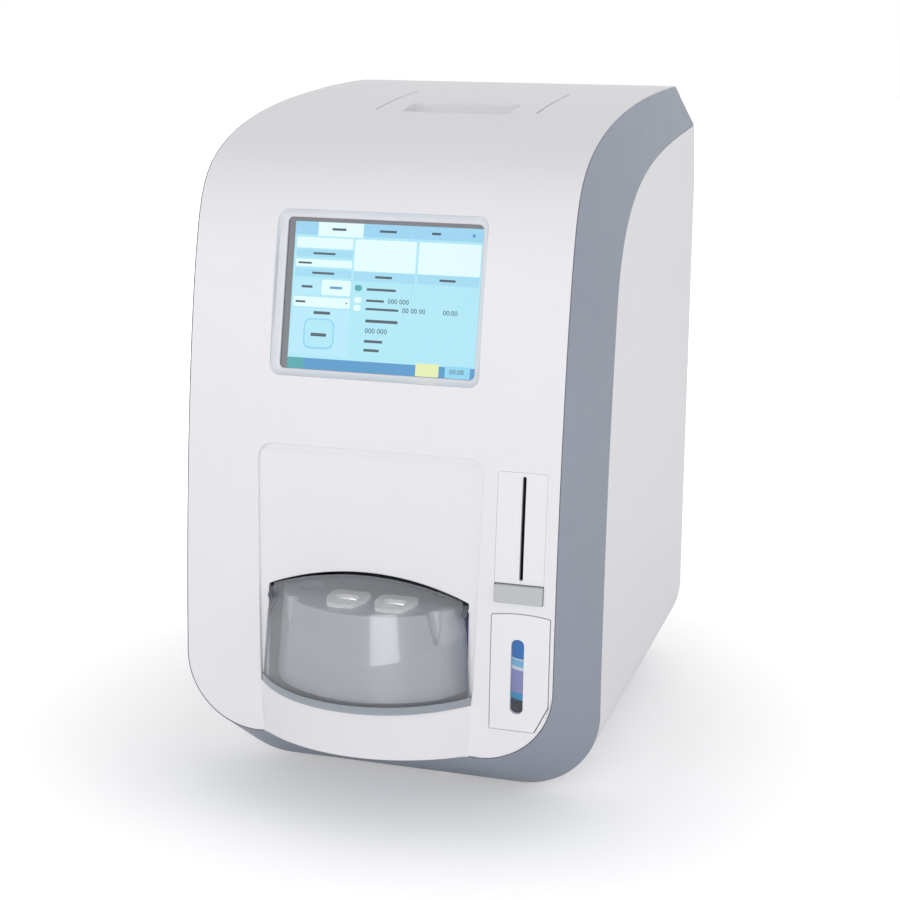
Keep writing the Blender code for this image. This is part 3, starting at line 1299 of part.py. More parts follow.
join(head_carriage, box("carriage_arm", (ARM_LEFT + SEAM, ARM_FRONT, ARM_LOW),
                        (ARM_RIGHT, CARRIAGE_FRONT + ARM_WALL, ARM_LOW + ARM_WALL)))
nozzle_y = CAROUSEL_Y + WELL_REACH
for x in (-WELL_LEFT, -WELL_RIGHT):
    join(head_carriage, rod("nozzle", (x, nozzle_y), NOZZLE_RADIUS, NOZZLE_LOW, ARM_LOW + ARM_WALL / 2,
                            sides=12))
for x, radius in ((-GUIDE_X, GUIDE_RADIUS), (0, SCREW_RADIUS), (GUIDE_X, GUIDE_RADIUS)):
    cut(head_carriage, rod("carriage_bore", (x, GUIDE_Y), radius + SEAM, CARRIAGE_LOW - CARRIAGE_HEIGHT,
                           CARRIAGE_LOW + 2 * CARRIAGE_HEIGHT, sides=16))
node(head_carriage, "head_carriage", "light_plastic", carriage_pivot)
screw_pivot = pivot("screw_axis", (0, GUIDE_Y, head_foot))
head_screw = rod("head_screw", (0, GUIDE_Y), SCREW_RADIUS, head_foot + SEAM, HEAD_SHELF - SEAM, sides=16)
join(head_screw, rod("screw_neck", (0, GUIDE_Y), SCREW_NECK, HEAD_SHELF - SCREW_RADIUS, shelf_high,
                     sides=12))
node(head_screw, "head_screw", "steel", screw_pivot)
half_head_motor = HEAD_MOTOR_SIDE / 2
head_motor = box("head_motor", (-half_head_motor, GUIDE_Y - half_head_motor, shelf_high + SEAM),
                 (half_head_motor, GUIDE_Y + half_head_motor, shelf_high + SEAM + HEAD_MOTOR_HEIGHT))
node(head_motor, "head_motor", "black_plastic")


def hose_line(start, end, rise, steps=14):
    """Points of a hose that stands up from its start, bends over and comes down on its end."""
    high = max(start[2], end[2]) + rise * 2
    corners = [start, (start[0], start[1], high), (end[0], end[1], high), end]
    line = []
    for i in range(steps + 1):
        t = i / steps
        s = 1 - t
        weights = (s ** 3, 3 * s * s * t, 3 * s * t * t, t ** 3)
        line.append(tuple(sum(w * p[k] for w, p in zip(weights, corners)) for k in range(3)))
    return line


# Vacuum pump and valve block with their hose
pump_right = PUMP_LEFT + PUMP_LENGTH
pump_z = on_deck + PUMP_BASE + PUMP_RADIUS
vacuum_pump = rod("vacuum_pump", (PUMP_Y, pump_z), PUMP_RADIUS, PUMP_LEFT, pump_right, 'X', sides=24)
join(vacuum_pump, box("pump_foot", (PUMP_LEFT + PUMP_BASE, PUMP_Y - PUMP_FOOT, on_deck),
                      (pump_right - PUMP_BASE, PUMP_Y + PUMP_FOOT, pump_z - PUMP_RADIUS / 2)))
node(vacuum_pump, "vacuum_pump", "black_plastic")
valve_high = on_deck + VALVE_HEIGHT
valve_middle = VALVE_FRONT + VALVE_DEPTH / 2
valve_block = box("valve_block", (VALVE_LEFT, VALVE_FRONT, on_deck),
                  (VALVE_LEFT + VALVE_WIDTH, VALVE_FRONT + VALVE_DEPTH, valve_high))
node(valve_block, "valve_block", "light_plastic")
pump_middle = PUMP_LEFT + PUMP_LENGTH / 2
vacuum_tube = tube("vacuum_tube", hose_line((pump_middle, PUMP_Y, pump_z + PUMP_RADIUS + SEAM),
                                            (pump_middle, valve_middle, valve_high + SEAM), HOSE_RISE),
                   HOSE_RADIUS)
node(vacuum_tube, "vacuum_tube", "clear_plastic")

# Reagent dispenser: drive block, syringe barrel, plunger and hose
drive_rear = DRIVE_FRONT + DRIVE_DEPTH
dispenser_drive = box("dispenser_drive", (DRIVE_LEFT, DRIVE_FRONT, on_deck),
                      (DRIVE_LEFT + DRIVE_WIDTH, drive_rear, on_deck + DRIVE_HEIGHT))
node(dispenser_drive, "dispenser_drive", "black_plastic")
barrel_place = (DRIVE_LEFT + DRIVE_WIDTH / 2, drive_rear + SEAM + BARREL_RADIUS)
barrel_bore = BARREL_RADIUS - BARREL_WALL
syringe_barrel = turned("syringe_barrel", [
    (0, BARREL_LENGTH), (BARREL_RADIUS, BARREL_LENGTH), (BARREL_RADIUS, 0), (barrel_bore, 0),
    (barrel_bore, BARREL_LENGTH - BARREL_WALL), (0, BARREL_LENGTH - BARREL_WALL)],
    (*barrel_place, BARREL_LOW), sides=20)
node(syringe_barrel, "syringe_barrel", "clear_plastic")
plunger_pivot = pivot("plunger_guide", (*barrel_place, PLUNGER_LOW))
plunger_bore = barrel_bore - SEAM
syringe_plunger = turned("syringe_plunger", [
    (0, PLUNGER_LENGTH), (plunger_bore, PLUNGER_LENGTH), (plunger_bore, PLUNGER_LENGTH - PLUNGER_HEAD),
    (PLUNGER_ROD, PLUNGER_LENGTH - PLUNGER_HEAD), (PLUNGER_ROD, PLUNGER_FLANGE_WALL),
    (PLUNGER_FLANGE, PLUNGER_FLANGE_WALL), (PLUNGER_FLANGE, 0), (0, 0)],
    (*barrel_place, PLUNGER_LOW), sides=20)
node(syringe_plunger, "syringe_plunger", "light_plastic", plunger_pivot)
reagent_tube = tube("reagent_tube", hose_line((*barrel_place, BARREL_LOW + BARREL_LENGTH + SEAM),
                                              (VALVE_LEFT + VALVE_HEIGHT / 4, valve_middle,
                                               valve_high + SEAM), HOSE_RISE, 18), HOSE_RADIUS)
node(reagent_tube, "reagent_tube", "clear_plastic")

# Main board on the upright wall, power supply behind it
wall_face = DECK_REAR - DECK_WALL - SEAM
board_rear = wall_face - BOARD_GAP
main_board = box("main_board", (BOARD_LEFT, board_rear - BOARD_WALL, BOARD_LOW),
                 (BOARD_RIGHT, board_rear, BOARD_HIGH))
for x in (BOARD_LEFT + STANDOFF_INSET, BOARD_RIGHT - STANDOFF_INSET):
    for z in (BOARD_LOW + STANDOFF_INSET, BOARD_HIGH - STANDOFF_INSET):
        join(main_board, rod("standoff", (x, z), STANDOFF_RADIUS, board_rear - BOARD_WALL / 2, wall_face,
                             'Y', sides=6))
board_middle = (BOARD_LEFT + BOARD_RIGHT) / 2
for k in (-1, 0, 1):
    chip_z = (BOARD_LOW + BOARD_HIGH) / 2 + k * CHIP_PITCH
    chip_front = board_rear - BOARD_WALL - CHIP_HEIGHT
    join(main_board, box("chip", (board_middle - CHIP_SIDE / 2, chip_front, chip_z - CHIP_SIDE / 2),
                         (board_middle + CHIP_SIDE / 2, board_rear - BOARD_WALL / 2,
                          chip_z + CHIP_SIDE / 2)))
node(main_board, "main_board", "board_green")
on_tray = FLOOR + PANEL_WALL + SEAM
power_supply = box("power_supply", (SUPPLY_LEFT, SUPPLY_FRONT, on_tray),
                   (SUPPLY_LEFT + SUPPLY_WIDTH, SUPPLY_FRONT + SUPPLY_DEPTH, on_tray + SUPPLY_HEIGHT))
node(power_supply, "power_supply", "zinc_sheet")

# Fan on the rear panel
fan_rear = REAR_Y - PANEL_WALL - SEAM
fan_front = fan_rear - FAN_DEPTH
half_fan = FAN_SIDE / 2
fan_frame = plate("fan_frame", rounded(FAN_X - half_fan, FAN_X + half_fan, FAN_Z - half_fan,
                                       FAN_Z + half_fan, FAN_CORNER, 3), fan_front, fan_rear, 'XZ')
cut(fan_frame, rod("fan_bore", (FAN_X, FAN_Z), FAN_BORE, fan_front - FAN_DEPTH, fan_rear + FAN_DEPTH,
                   'Y', sides=32))
strut_rear = fan_front + FAN_STRUT_DEPTH
join(fan_frame,
     box("fan_strut", (FAN_X - FAN_BORE - FAN_STRUT_DEPTH / 2, fan_front + SEAM, FAN_Z - FAN_STRUT / 2),
         (FAN_X + FAN_BORE + FAN_STRUT_DEPTH / 2, strut_rear, FAN_Z + FAN_STRUT / 2)),
     box("fan_strut", (FAN_X - FAN_STRUT / 2, fan_front + SEAM, FAN_Z - FAN_BORE - FAN_STRUT_DEPTH / 2),
         (FAN_X + FAN_STRUT / 2, strut_rear, FAN_Z + FAN_BORE + FAN_STRUT_DEPTH / 2)),
     rod("fan_mount", (FAN_X, FAN_Z), FAN_HUB - SEAM, fan_front, strut_rear + SEAM, 'Y', sides=22))
node(fan_frame, "fan_frame", "black_plastic")
fan_pivot = pivot("fan_axis", (FAN_X, strut_rear, FAN_Z))
hub_front = strut_rear + 2 * SEAM
hub_rear = fan_rear - FAN_STRUT_DEPTH
fan_rotor = rod("fan_rotor", (FAN_X, FAN_Z), FAN_HUB, hub_front, hub_rear, 'Y', sides=20)
blade_tip = FAN_BORE - BLADE_GAP
blade_y = (hub_front + hub_rear) / 2
for k in range(BLADES):
    blade = box("fan_blade", (FAN_HUB / 2, -BLADE_WALL / 2, -BLADE_CHORD / 2),
                (blade_tip, BLADE_WALL / 2, BLADE_CHORD / 2))
    blade.matrix_world = (Matrix.Translation((FAN_X, blade_y, FAN_Z))
                          @ Matrix.Rotation(math.tau * k / BLADES, 4, 'Y')
                          @ Matrix.Rotation(math.radians(BLADE_ANGLE), 4, 'X'))
    join(fan_rotor, blade)
node(fan_rotor, "fan_rotor", "black_plastic", fan_pivot)

# Openings in the rear panel: fan grille, louvres, power inlet and data port
wall_front = REAR_Y - 2 * PANEL_WALL
wall_rear = REAR_Y + PANEL_WALL
for k in range(-GRILLE_EACH_SIDE, GRILLE_EACH_SIDE + 1):
    x = FAN_X + k * GRILLE_PITCH
    reach = math.sqrt(FAN_BORE ** 2 - (k * GRILLE_PITCH) ** 2) - GRILLE_SLOT
    cut(rear_panel, box("grille_slot", (x - GRILLE_SLOT / 2, wall_front, FAN_Z - reach),
                        (x + GRILLE_SLOT / 2, wall_rear, FAN_Z + reach)))
for k in range(LOUVRES):
    z = LOUVRE_LOW + k * LOUVRE_PITCH
    cut(rear_panel, box("louvre", (LOUVRE_X - LOUVRE_WIDTH / 2, wall_front, z),
                        (LOUVRE_X + LOUVRE_WIDTH / 2, wall_rear, z + LOUVRE_SLOT)))
half_inlet = INLET_WIDTH / 2
inlet_high = INLET_LOW + INLET_HEIGHT
half_port = PORT_WIDTH / 2
cut(rear_panel,
    box("inlet_hole", (INLET_X - half_inlet - SEAM, wall_front, INLET_LOW - SEAM),
        (INLET_X + half_inlet + SEAM, wall_rear, inlet_high + SEAM)),
    box("port_hole", (PORT_X - half_port - SEAM, wall_front, PORT_Z - PORT_HEIGHT / 2 - SEAM),
        (PORT_X + half_port + SEAM, wall_rear, PORT_Z + PORT_HEIGHT / 2 + SEAM)))
node(rear_panel, "rear_panel", "white_plastic")

# Power inlet with three pins, and the rocker switch above it
power_inlet = box("power_inlet", (INLET_X - half_inlet, REAR_Y - INLET_DEPTH, INLET_LOW),
                  (INLET_X + half_inlet, REAR_Y, inlet_high))
socket_floor = REAR_Y - SOCKET_DEPTH
rocker_floor = REAR_Y - ROCKER_DEPTH
half_rocker = ROCKER_WIDTH / 2
cut(power_inlet,
    plate("socket_space", rounded(INLET_X - SOCKET_WIDTH / 2, INLET_X + SOCKET_WIDTH / 2, SOCKET_LOW,
                                  SOCKET_LOW + SOCKET_HEIGHT, SOCKET_CORNER, 2),
          socket_floor, wall_rear, 'XZ'),
    box("rocker_space", (INLET_X - half_rocker - ROCKER_GAP, rocker_floor,
                         ROCKER_Z - ROCKER_HEIGHT / 2 - ROCKER_GAP),
        (INLET_X + half_rocker + ROCKER_GAP, wall_rear, ROCKER_Z + ROCKER_HEIGHT / 2 + ROCKER_GAP)))
pin_middle = SOCKET_LOW + SOCKET_HEIGHT / 2
pin_high = SOCKET_LOW + SOCKET_HEIGHT - BLADE_PIN
for x, z in ((-BLADE_PIN_REACH, pin_middle - BLADE_PIN_HEIGHT / 2),
             (0, pin_high - BLADE_PIN_HEIGHT),
             (BLADE_PIN_REACH, pin_middle - BLADE_PIN_HEIGHT / 2)):
    join(power_inlet, box("inlet_pin", (INLET_X + x - BLADE_PIN / 2, socket_floor - BLADE_PIN, z),
                          (INLET_X + x + BLADE_PIN / 2, REAR_Y - BLADE_PIN, z + BLADE_PIN_HEIGHT)))
node(power_inlet, "power_inlet", "black_plastic")
rocker_axis_y = (rocker_floor + REAR_Y) / 2
rocker_pivot = pivot("power_switch_axis", (INLET_X, rocker_axis_y, ROCKER_Z))
rocker_half_height = ROCKER_HEIGHT / 2 - ROCKER_GAP
rocker_outline = [(rocker_axis_y, ROCKER_Z - rocker_half_height), (REAR_Y - ROCKER_RISE,
                  ROCKER_Z - rocker_half_height), (REAR_Y - 2 * ROCKER_RISE, ROCKER_Z),
                  (REAR_Y - ROCKER_RISE, ROCKER_Z + rocker_half_height),
                  (rocker_axis_y, ROCKER_Z + rocker_half_height),
                  (rocker_floor + ROCKER_RISE, ROCKER_Z)]
power_switch = plate("power_switch", rocker_outline, INLET_X - half_rocker, INLET_X + half_rocker, 'YZ')
node(power_switch, "power_switch", "black_plastic", rocker_pivot)

# Data port: a flanged shell sunk in the rear panel
data_port = box("data_port", (PORT_X - half_port, REAR_Y - PORT_DEPTH, PORT_Z - PORT_HEIGHT / 2),
                (PORT_X + half_port, REAR_Y - PORT_SINK, PORT_Z + PORT_HEIGHT / 2))
join(data_port, plate("port_face", rounded(PORT_X - PORT_FACE_WIDTH / 2, PORT_X + PORT_FACE_WIDTH / 2,
                                           PORT_Z - PORT_FACE_HEIGHT / 2, PORT_Z + PORT_FACE_HEIGHT / 2,
                                           PORT_CORNER, 3),
                      REAR_Y - PORT_DEPTH / 2, REAR_Y, 'XZ'))
node(data_port, "data_port", "steel")

# Feet under the base tray
foot_top = FLOOR - SEAM
feet = [("foot_front_left", -CORNER_FOOT_X, CORNER_FOOT_FRONT, CORNER_FOOT_RADIUS, "rubber"),
        ("foot_front_right", CORNER_FOOT_X, CORNER_FOOT_FRONT, CORNER_FOOT_RADIUS, "rubber"),
        ("foot_rear_left", -CORNER_FOOT_X, CORNER_FOOT_REAR, CORNER_FOOT_RADIUS, "rubber"),
        ("foot_rear_right", CORNER_FOOT_X, CORNER_FOOT_REAR, CORNER_FOOT_RADIUS, "rubber"),
        ("foot_front_middle", MIDDLE_FOOT_X, MIDDLE_FOOT_Y, MIDDLE_FOOT_RADIUS, "white_plastic")]
for name, x, y, radius, surface in feet:
    node(rod(name, (x, y), radius - FOOT_TAPER, 0, foot_top, sides=20, end_radius=radius), name, surface)

node(front_cover, "front_cover", "white_plastic")
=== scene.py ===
"""Look of the coagulation analyzer: shell, display, clear cover, carousel, doors, materials and studio.

Metres, +Z up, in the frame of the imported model. The front looks along -Y.
"""
import json
import math

import bmesh
import bpy
from mathutils import Matrix, Vector


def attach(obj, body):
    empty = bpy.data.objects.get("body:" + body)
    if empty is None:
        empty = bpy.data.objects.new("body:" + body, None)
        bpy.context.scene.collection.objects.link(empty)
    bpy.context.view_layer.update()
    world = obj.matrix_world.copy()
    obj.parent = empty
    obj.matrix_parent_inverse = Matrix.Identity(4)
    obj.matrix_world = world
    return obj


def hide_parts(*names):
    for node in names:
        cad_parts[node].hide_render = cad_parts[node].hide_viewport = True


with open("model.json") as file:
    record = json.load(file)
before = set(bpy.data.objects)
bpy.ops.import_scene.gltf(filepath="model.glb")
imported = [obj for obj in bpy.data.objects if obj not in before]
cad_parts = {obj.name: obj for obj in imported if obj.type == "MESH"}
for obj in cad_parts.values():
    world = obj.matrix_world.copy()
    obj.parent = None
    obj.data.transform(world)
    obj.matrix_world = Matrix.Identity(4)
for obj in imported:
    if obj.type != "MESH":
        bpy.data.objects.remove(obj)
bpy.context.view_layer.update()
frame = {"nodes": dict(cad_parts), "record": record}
nodes = frame["nodes"]
slots = {part["node"]: part["material_slot"] for part in frame["record"]["subparts"]}

# Body
BODY_WIDTH = 0.252
BODY_DEPTH = 0.372
BODY_HEIGHT = 0.418
FLOOR = 0.005
SEAM = 0.0003
OVERRUN = 0.02
WELD = 0.00001
HALF_WIDTH = BODY_WIDTH / 2
HALF_DEPTH = BODY_DEPTH / 2
REAR_Y = HALF_DEPTH
COVER_WALL = 0.003
BAND_WALL = 0.0025
PANEL_WALL = 0.0025
COVER_LOW = 0.0505
COVER_CORNER = 0.045
PANEL_CORNER = 0.050
BAND_HALF = HALF_WIDTH - 0.0127
COVER_HALF = BAND_HALF - SEAM
COVER_EDGE = 0.0007
BAND_EDGE = 0.0005
CORNER_STEPS = 20
PROFILE_STEPS = 34
DENSE_STEPS = 160
COVER_PROFILE_SHARES = (
    (0.9167, 0.9931), (-0.4274, 1.0000), (-0.5511, 0.9213), (-0.6070, 0.8694),
    (-0.6909, 0.7921), (-0.8118, 0.4761), (-0.8301, 0.1172),
)
BAND_PROFILE_SHARES = (
    (0.9548, 0.9299), (0.1613, 0.9151), (-0.2667, 0.9057), (-0.3333, 0.7211),
    (-0.4242, 0.4691), (-0.4220, 0.3978), (-0.4430, 0.2031),
)
REAR_BEND = 0.8370 * BODY_HEIGHT
TRAY_HALF = HALF_WIDTH - PANEL_CORNER - 0.007

# Display
SCREEN_WIDTH = 0.118
SCREEN_HEIGHT = 0.0877
SCREEN_CENTRE = 0.3128
BEZEL_SLOPE = 0.004
BEZEL_DEPTH = 0.005
BEZEL_CORNER = 0.003
SHELF = 0.0025
GLASS_WALL = 0.0018
PAD_MARGIN = 0.019
PAD_RIM = 0.0085
PAD_DEPTH = 0.009
# The lit area leaves dark glass only at the left and the top: painted shade of the screen recess.
LIT_LEFT = -0.0547
LIT_RIGHT = 0.0588
LIT_LOW = -0.0437
LIT_HIGH = 0.0415
FILM = 0.00005
DISPLAY_LEVEL = 0.86
SCREEN_STEPS = 6
BEZEL_BULGE = 0.16
GLASS_EDGE = 0.0002
DIGIT_SHARE = 1.35
DIGIT_LEVEL = 4

# Bay, arch and lip
BAY_TOP = 0.226
BAY_HALF = 0.0685
BAY_FOOT_HALF = 0.0655
BAY_DEPTH = 0.0025
BAY_CORNER = 0.008
ARCH_HALF = 0.0618
ARCH_TOP_HALF = 0.0615
ARCH_SPRING = 0.142
ARCH_RISE = 0.0122
LIP_TOP = 0.0825
LIP_HALF = 0.065
LIP_WALL = 0.003
LIP_BULGE = 0.0228
LIP_TOP_BULGE = 0.0297
ARC_STEPS = 48

# Printer door, release bar, reagent door and bottle
PRINTER_LEFT = 0.077
PRINTER_RIGHT = 0.106
PRINTER_LOW = 0.157
PRINTER_HIGH = 0.221
PRINTER_CORNER = 0.0005
DOOR_WALL = 0.0025
BAR_LOW = 0.146
BAR_PROUD = 0.0025
BAR_DEPTH = 0.008
SLOT_X = 0.0925
SLOT_WIDTH = 0.0022
SLOT_MARGIN = 0.0022
REAGENT_LEFT = 0.0757
REAGENT_RIGHT = 0.1106
REAGENT_LOW = 0.070
REAGENT_HIGH = 0.140
REAGENT_RISE = 0.0015
REAGENT_CUT_WIDTH = 0.008
REAGENT_CUT_HEIGHT = 0.016
WINDOW_X = 0.0918
WINDOW_WIDTH = 0.0075
WINDOW_LOW = 0.0805
WINDOW_HIGH = 0.1248
PANE_INSET = 0.0005
PANE_WALL = 0.0015
BOTTLE_X = 0.091
BOTTLE_Y = -0.120
BOTTLE_LOW = 0.0626
BOTTLE_RADIUS = 0.012
BOTTLE_HEIGHT = 0.0735
BOTTLE_SHOULDER = 0.0595
BOTTLE_NECK = 0.007
BOTTLE_SLOPE = 0.005
BOTTLE_CHAMFER = 0.001
LABEL_TOP = 0.02
# Share by which the bottle label glows: painted light behind the door window.
LABEL_PAINTED_GLOW = 0.46
DOOR_EDGE = 0.00012
BAR_EDGE = 0.0009
HATCH_EDGE = 0.0003

# Clear cover
CLEAR_WALL = 0.0018
CLEAR_FLANGE = 0.0047
CLEAR_STEP = 0.001
CREASE_HALF = 0.0615
CREASE_MIDDLE = 0.111
CREASE_END = 0.125
BROW_HALF = 0.0545
BROW_Z = 0.1415
BROW_SETBACK = 0.006
RIM_HALF = 0.058
RIM_RISE = 0.010
RIM_Z = 0.143
HINGE_Z = 0.1375
HINGE_RADIUS = 0.0008
LUG_RADIUS = 0.003
LUG_WALL = 0.0026
LUG_INSET = 0.0006
LUG_REACH = 0.003
CLEAR_STEPS = 48

# Carousel and cartridges
CAROUSEL_Y = -0.1125
DRUM_LOW = 0.086
DRUM_HIGH = 0.1375
DRUM_FOOT_HALF = 0.048
DRUM_FOOT_BULGE = 0.018
DRUM_TOP_HALF = 0.0445
DRUM_TOP_BULGE = 0.016
DRUM_STEPS = 28
DRUM_ROUND = 0.0009
NOTCH_LOW = 0.110
NOTCH_RADIUS = 0.006
WELL_LEFT = -0.0112
WELL_RIGHT = 0.0182
WELL_REACH = 0.0415
WELL_RADIUS = 0.0085
WELL_DEPTH = 0.034
CARTRIDGE_WIDTH = 0.024
CARTRIDGE_FRONT = -0.165
CARTRIDGE_REAR = -0.139
COLLAR_WALL = 0.0022
COLLAR_CORNER = 0.005
COLLAR_SHOULDER = 0.013
COLLAR_WAIST = ((0.0022, 0.0062), (0.0042, 0.0016))
COLLAR_NOTCH = ((-0.0045, 0), (0.0012, 0), (0.0028, 0.0022), (0.0044, 0))
COLLAR_EDGE = 0.0004
RECESS = (0.0062, -0.1585, -0.1480, 0.0042)
RECESS_SLOPE = ((0.001, (0.0082, -0.1602, -0.1463, 0.0052)),
                (-0.0012, (0.0066, -0.1588, -0.1477, 0.0044)))
CUP_WALL = 0.001
SHAFT_SEAT_RADIUS = 0.0063
SHAFT_SEAT_HEIGHT = 0.0243
DRUM_EDGE = 0.0005

# Grip plate
GRIP_LEFT = -0.0425
GRIP_RIGHT = 0.0615
GRIP_FRONT = -0.013
GRIP_REAR = 0.085
GRIP_CORNER = 0.010
POCKET_LEFT = -0.025
POCKET_RIGHT = 0.044
POCKET_FRONT = -0.009
POCKET_REAR = 0.027
POCKET_DEPTH = 0.024
POCKET_SLOPE = 0.014
POCKET_WALL = 0.002
POCKET_CORNER = 0.006
GRIP_LEFT_SEAM = 3 * SEAM
GRIP_RIGHT_SEAM = 4 * SEAM
GRIP_EDGE = 0.0009

# Rear screws
SCREW_SIZES = (("Head radius", 0.0032), ("Head height", 0.0011), ("Slot width", 0.0007))
SCREW_SIDES = 28
SCREW_LIFT = 0.0007
SCREW_SUNK = 0.00051
SCREW_SPOTS = ((0.110, 0.060), (0.112, 0.190), (0.112, 0.320), (0.048, 0.022))

# Studio; each lamp with its place, what it points at, its width and height, and its power
FLOOR_HALF = 6
FLOOR_LEVEL = -0.0002
FLOOR_FADE = (0.26, 0.95, 0.16, 0.62)
FLOOR_MIRRORED = 0.55
ROOM_LIGHT = 0.58
LAMPS = (
    ("front_softbox", (-0.55, -1.8, 0.70), (0, 0, 0.10), (1.4, 0.5), 6.4),
    ("strip_softbox", (0.47, -1.85, 0.22), (0, -0.16, 0.12), (0.80, 0.42), 4.2),
    ("top_softbox", (0.1, -0.1, 1.7), (0, 0, 0.3), (1.4, 1.4), 0.7),
    ("side_softbox", (1.9, -0.4, 0.9), (0, 0, 0.2), (1.2, 1.4), 5.5),
)

# Camera
CAMERA_PLACE = (0.34793, -1.11405, 0.49857)
CAMERA_TURNS = (17.12, 14.75, 0.11)
FOCAL_PIXELS = 1862.69
PHOTO_PIXELS = 900
SENSOR_WIDTH = 36


# Workshop: outlines
def bezier(points, steps):
    line = []
    for i in range(steps + 1):
        t = i / steps
        s = 1 - t
        weights = (s ** 3, 3 * s * s * t, 3 * s * t * t, t ** 3)
        line.append(tuple(sum(w * p[k] for w, p in zip(weights, points)) for k in range(2)))
    return line


def profile_curves(shares):
    points = [(y * HALF_DEPTH, z * BODY_HEIGHT) for y, z in shares]
    return bezier(points[:4], DENSE_STEPS), bezier(points[3:], DENSE_STEPS)


def offset_line(points, distance):
    """The open line moved sideways, with its corners kept."""
    moved = []
    for i, point in enumerate(points):
        before = points[max(i - 1, 0)]
        after = points[min(i + 1, len(points) - 1)]
        normals = []
        for a, b in ((before, point), (point, after)):
            step = Vector((b[0] - a[0], b[1] - a[1]))
            if step.length > 0:
                step.normalize()
                normals.append(Vector((-step.y, step.x)))
        lean = sum(normals, Vector((0, 0))).normalized()
        reach = distance / lean.dot(normals[0])
        moved.append((point[0] + lean.x * reach, point[1] + lean.y * reach))
    return moved


def between(points, low, high, axis=1):
    """The stretch of a line between two levels."""
    stretch = []
    for a, b in zip(points, points[1:]):
        for level in sorted((low, high), reverse=a[axis] > b[axis]):
            if (a[axis] - level) * (b[axis] - level) < 0:
                t = (level - a[axis]) / (b[axis] - a[axis])
                stretch.append(tuple(a[k] + (b[k] - a[k]) * t for k in range(2)))
        if low <= b[axis] <= high:
            stretch.append(b)
    if low <= points[0][axis] <= high:
        stretch.insert(0, points[0])
    return stretch


def resample(line, steps):
    lengths = [0]
    for a, b in zip(line, line[1:]):
        lengths.append(lengths[-1] + math.dist(a, b))
    result = [line[0]]
    k = 0
    for i in range(1, steps):
        goal = lengths[-1] * i / steps
        while lengths[k + 1] < goal:
            k += 1
        t = (goal - lengths[k]) / (lengths[k + 1] - lengths[k])
        result.append(tuple(line[k][n] + (line[k + 1][n] - line[k][n]) * t for n in range(2)))
    result.append(line[-1])
    return result


def skin(line, near, far):
    """The closed outline of a wall between two depths under a line."""
    return offset_line(line, near) + offset_line(line, far)[::-1]


def arc(centre, radius, start, end, steps):
    points = []
    for i in range(steps + 1):
        a = math.radians(start + (end - start) * i / steps)
        points.append((centre[0] + radius * math.cos(a), centre[1] + radius * math.sin(a)))
    return points


def rounded(left, right, low, high, radius, steps=8):
    outline = []
    corners = ((right - radius, low + radius, -90), (right - radius, high - radius, 0),
               (left + radius, high - radius, 90), (left + radius, low + radius, 180))
    for u, v, angle in corners:
        outline += arc((u, v), radius, angle, angle + 90, steps)
    return outline


def bow(half, bulge, steps):
    """A flat arc from -half to half, whose middle stands out by the bulge."""
    radius = (half * half + bulge * bulge) / (2 * bulge)
    reach = math.asin(half / radius)
    points = []
    for i in range(steps + 1):
        a = -reach + 2 * reach * i / steps
        points.append((radius * math.sin(a), radius - bulge - radius * math.cos(a)))
    return points


# Workshop: solids
def shape_from(name, data):
    shape = bpy.data.objects.new(name, data)
    bpy.context.scene.collection.objects.link(shape)
    return shape


def mesh_from(name, points, faces):
    mesh = bpy.data.meshes.new(name)
    mesh.from_pydata(points, [], faces)
    return mesh


def as_mesh(shape):
    """The shape with its modifiers and its place worked into a plain mesh."""
    bpy.context.view_layer.update()
    graph = bpy.context.evaluated_depsgraph_get()
    mesh = bpy.data.meshes.new_from_object(shape.evaluated_get(graph))
    mesh.transform(shape.matrix_world)
    name = shape.name
    bpy.data.objects.remove(shape, do_unlink=True)
    return shape_from(name, mesh)


def cleaned(mesh, collapse=False):
    """Merges points that meet, drops faces without area where asked, and turns all faces outward."""
    form = bmesh.new()
    form.from_mesh(mesh)
    bmesh.ops.remove_doubles(form, verts=form.verts, dist=WELD)
    if collapse:
        bmesh.ops.dissolve_degenerate(form, edges=form.edges, dist=WELD)
    bmesh.ops.recalc_face_normals(form, faces=form.faces)
    form.to_mesh(mesh)
    form.free()


PLANES = {
    'XY': Matrix.Identity(4),
    'XZ': Matrix(((1, 0, 0, 0), (0, 0, -1, 0), (0, 1, 0, 0), (0, 0, 0, 1))),
    'YZ': Matrix(((0, 0, 1, 0), (1, 0, 0, 0), (0, 1, 0, 0), (0, 0, 0, 1))),
}
PLANE_SIGN = {'XY': 1, 'XZ': -1, 'YZ': 1}


def plate(name, outline, low, high, plane='XY'):
    """A flat outline with a thickness, from one level to another across its plane."""
    data = bpy.data.curves.new(name, 'CURVE')
    data.dimensions = '2D'
    data.fill_mode = 'BOTH'
    data.extrude = abs(high - low) / 2
    spline = data.splines.new('POLY')
    spline.points.add(len(outline) - 1)
    for point, (u, v) in zip(spline.points, outline):
        point.co = (u, v, 0, 1)
    spline.use_cyclic_u = True
    shape = shape_from(name, data)
    middle = (low + high) / 2 * PLANE_SIGN[plane]
    shape.matrix_world = PLANES[plane] @ Matrix.Translation((0, 0, middle))
    solid = as_mesh(shape)
    bpy.data.curves.remove(data)
    cleaned(solid.data)
    return solid


def front_plate(name, outline, rear):
    """A plate with its outline seen from the front, from before the body back to a depth."""
    return plate(name, outline, -HALF_DEPTH - OVERRUN, rear, 'XZ')


def layer(name, line, near, far, left=-HALF_WIDTH, right=HALF_WIDTH):
    """The wall between two depths under a line of the profile, from left to right."""
    return plate(name, skin(line, near, far), left, right, 'YZ')


def strips(rows, count, closed=True):
    """The faces between neighbouring rows of points; closed rows join their ends as well."""
    faces = []
    for r in range(rows - 1):
        a, b = r * count, (r + 1) * count
        for i in range(count if closed else count - 1):
            j = (i + 1) % count
            faces.append((a + i, a + j, b + j, b + i))
    return faces


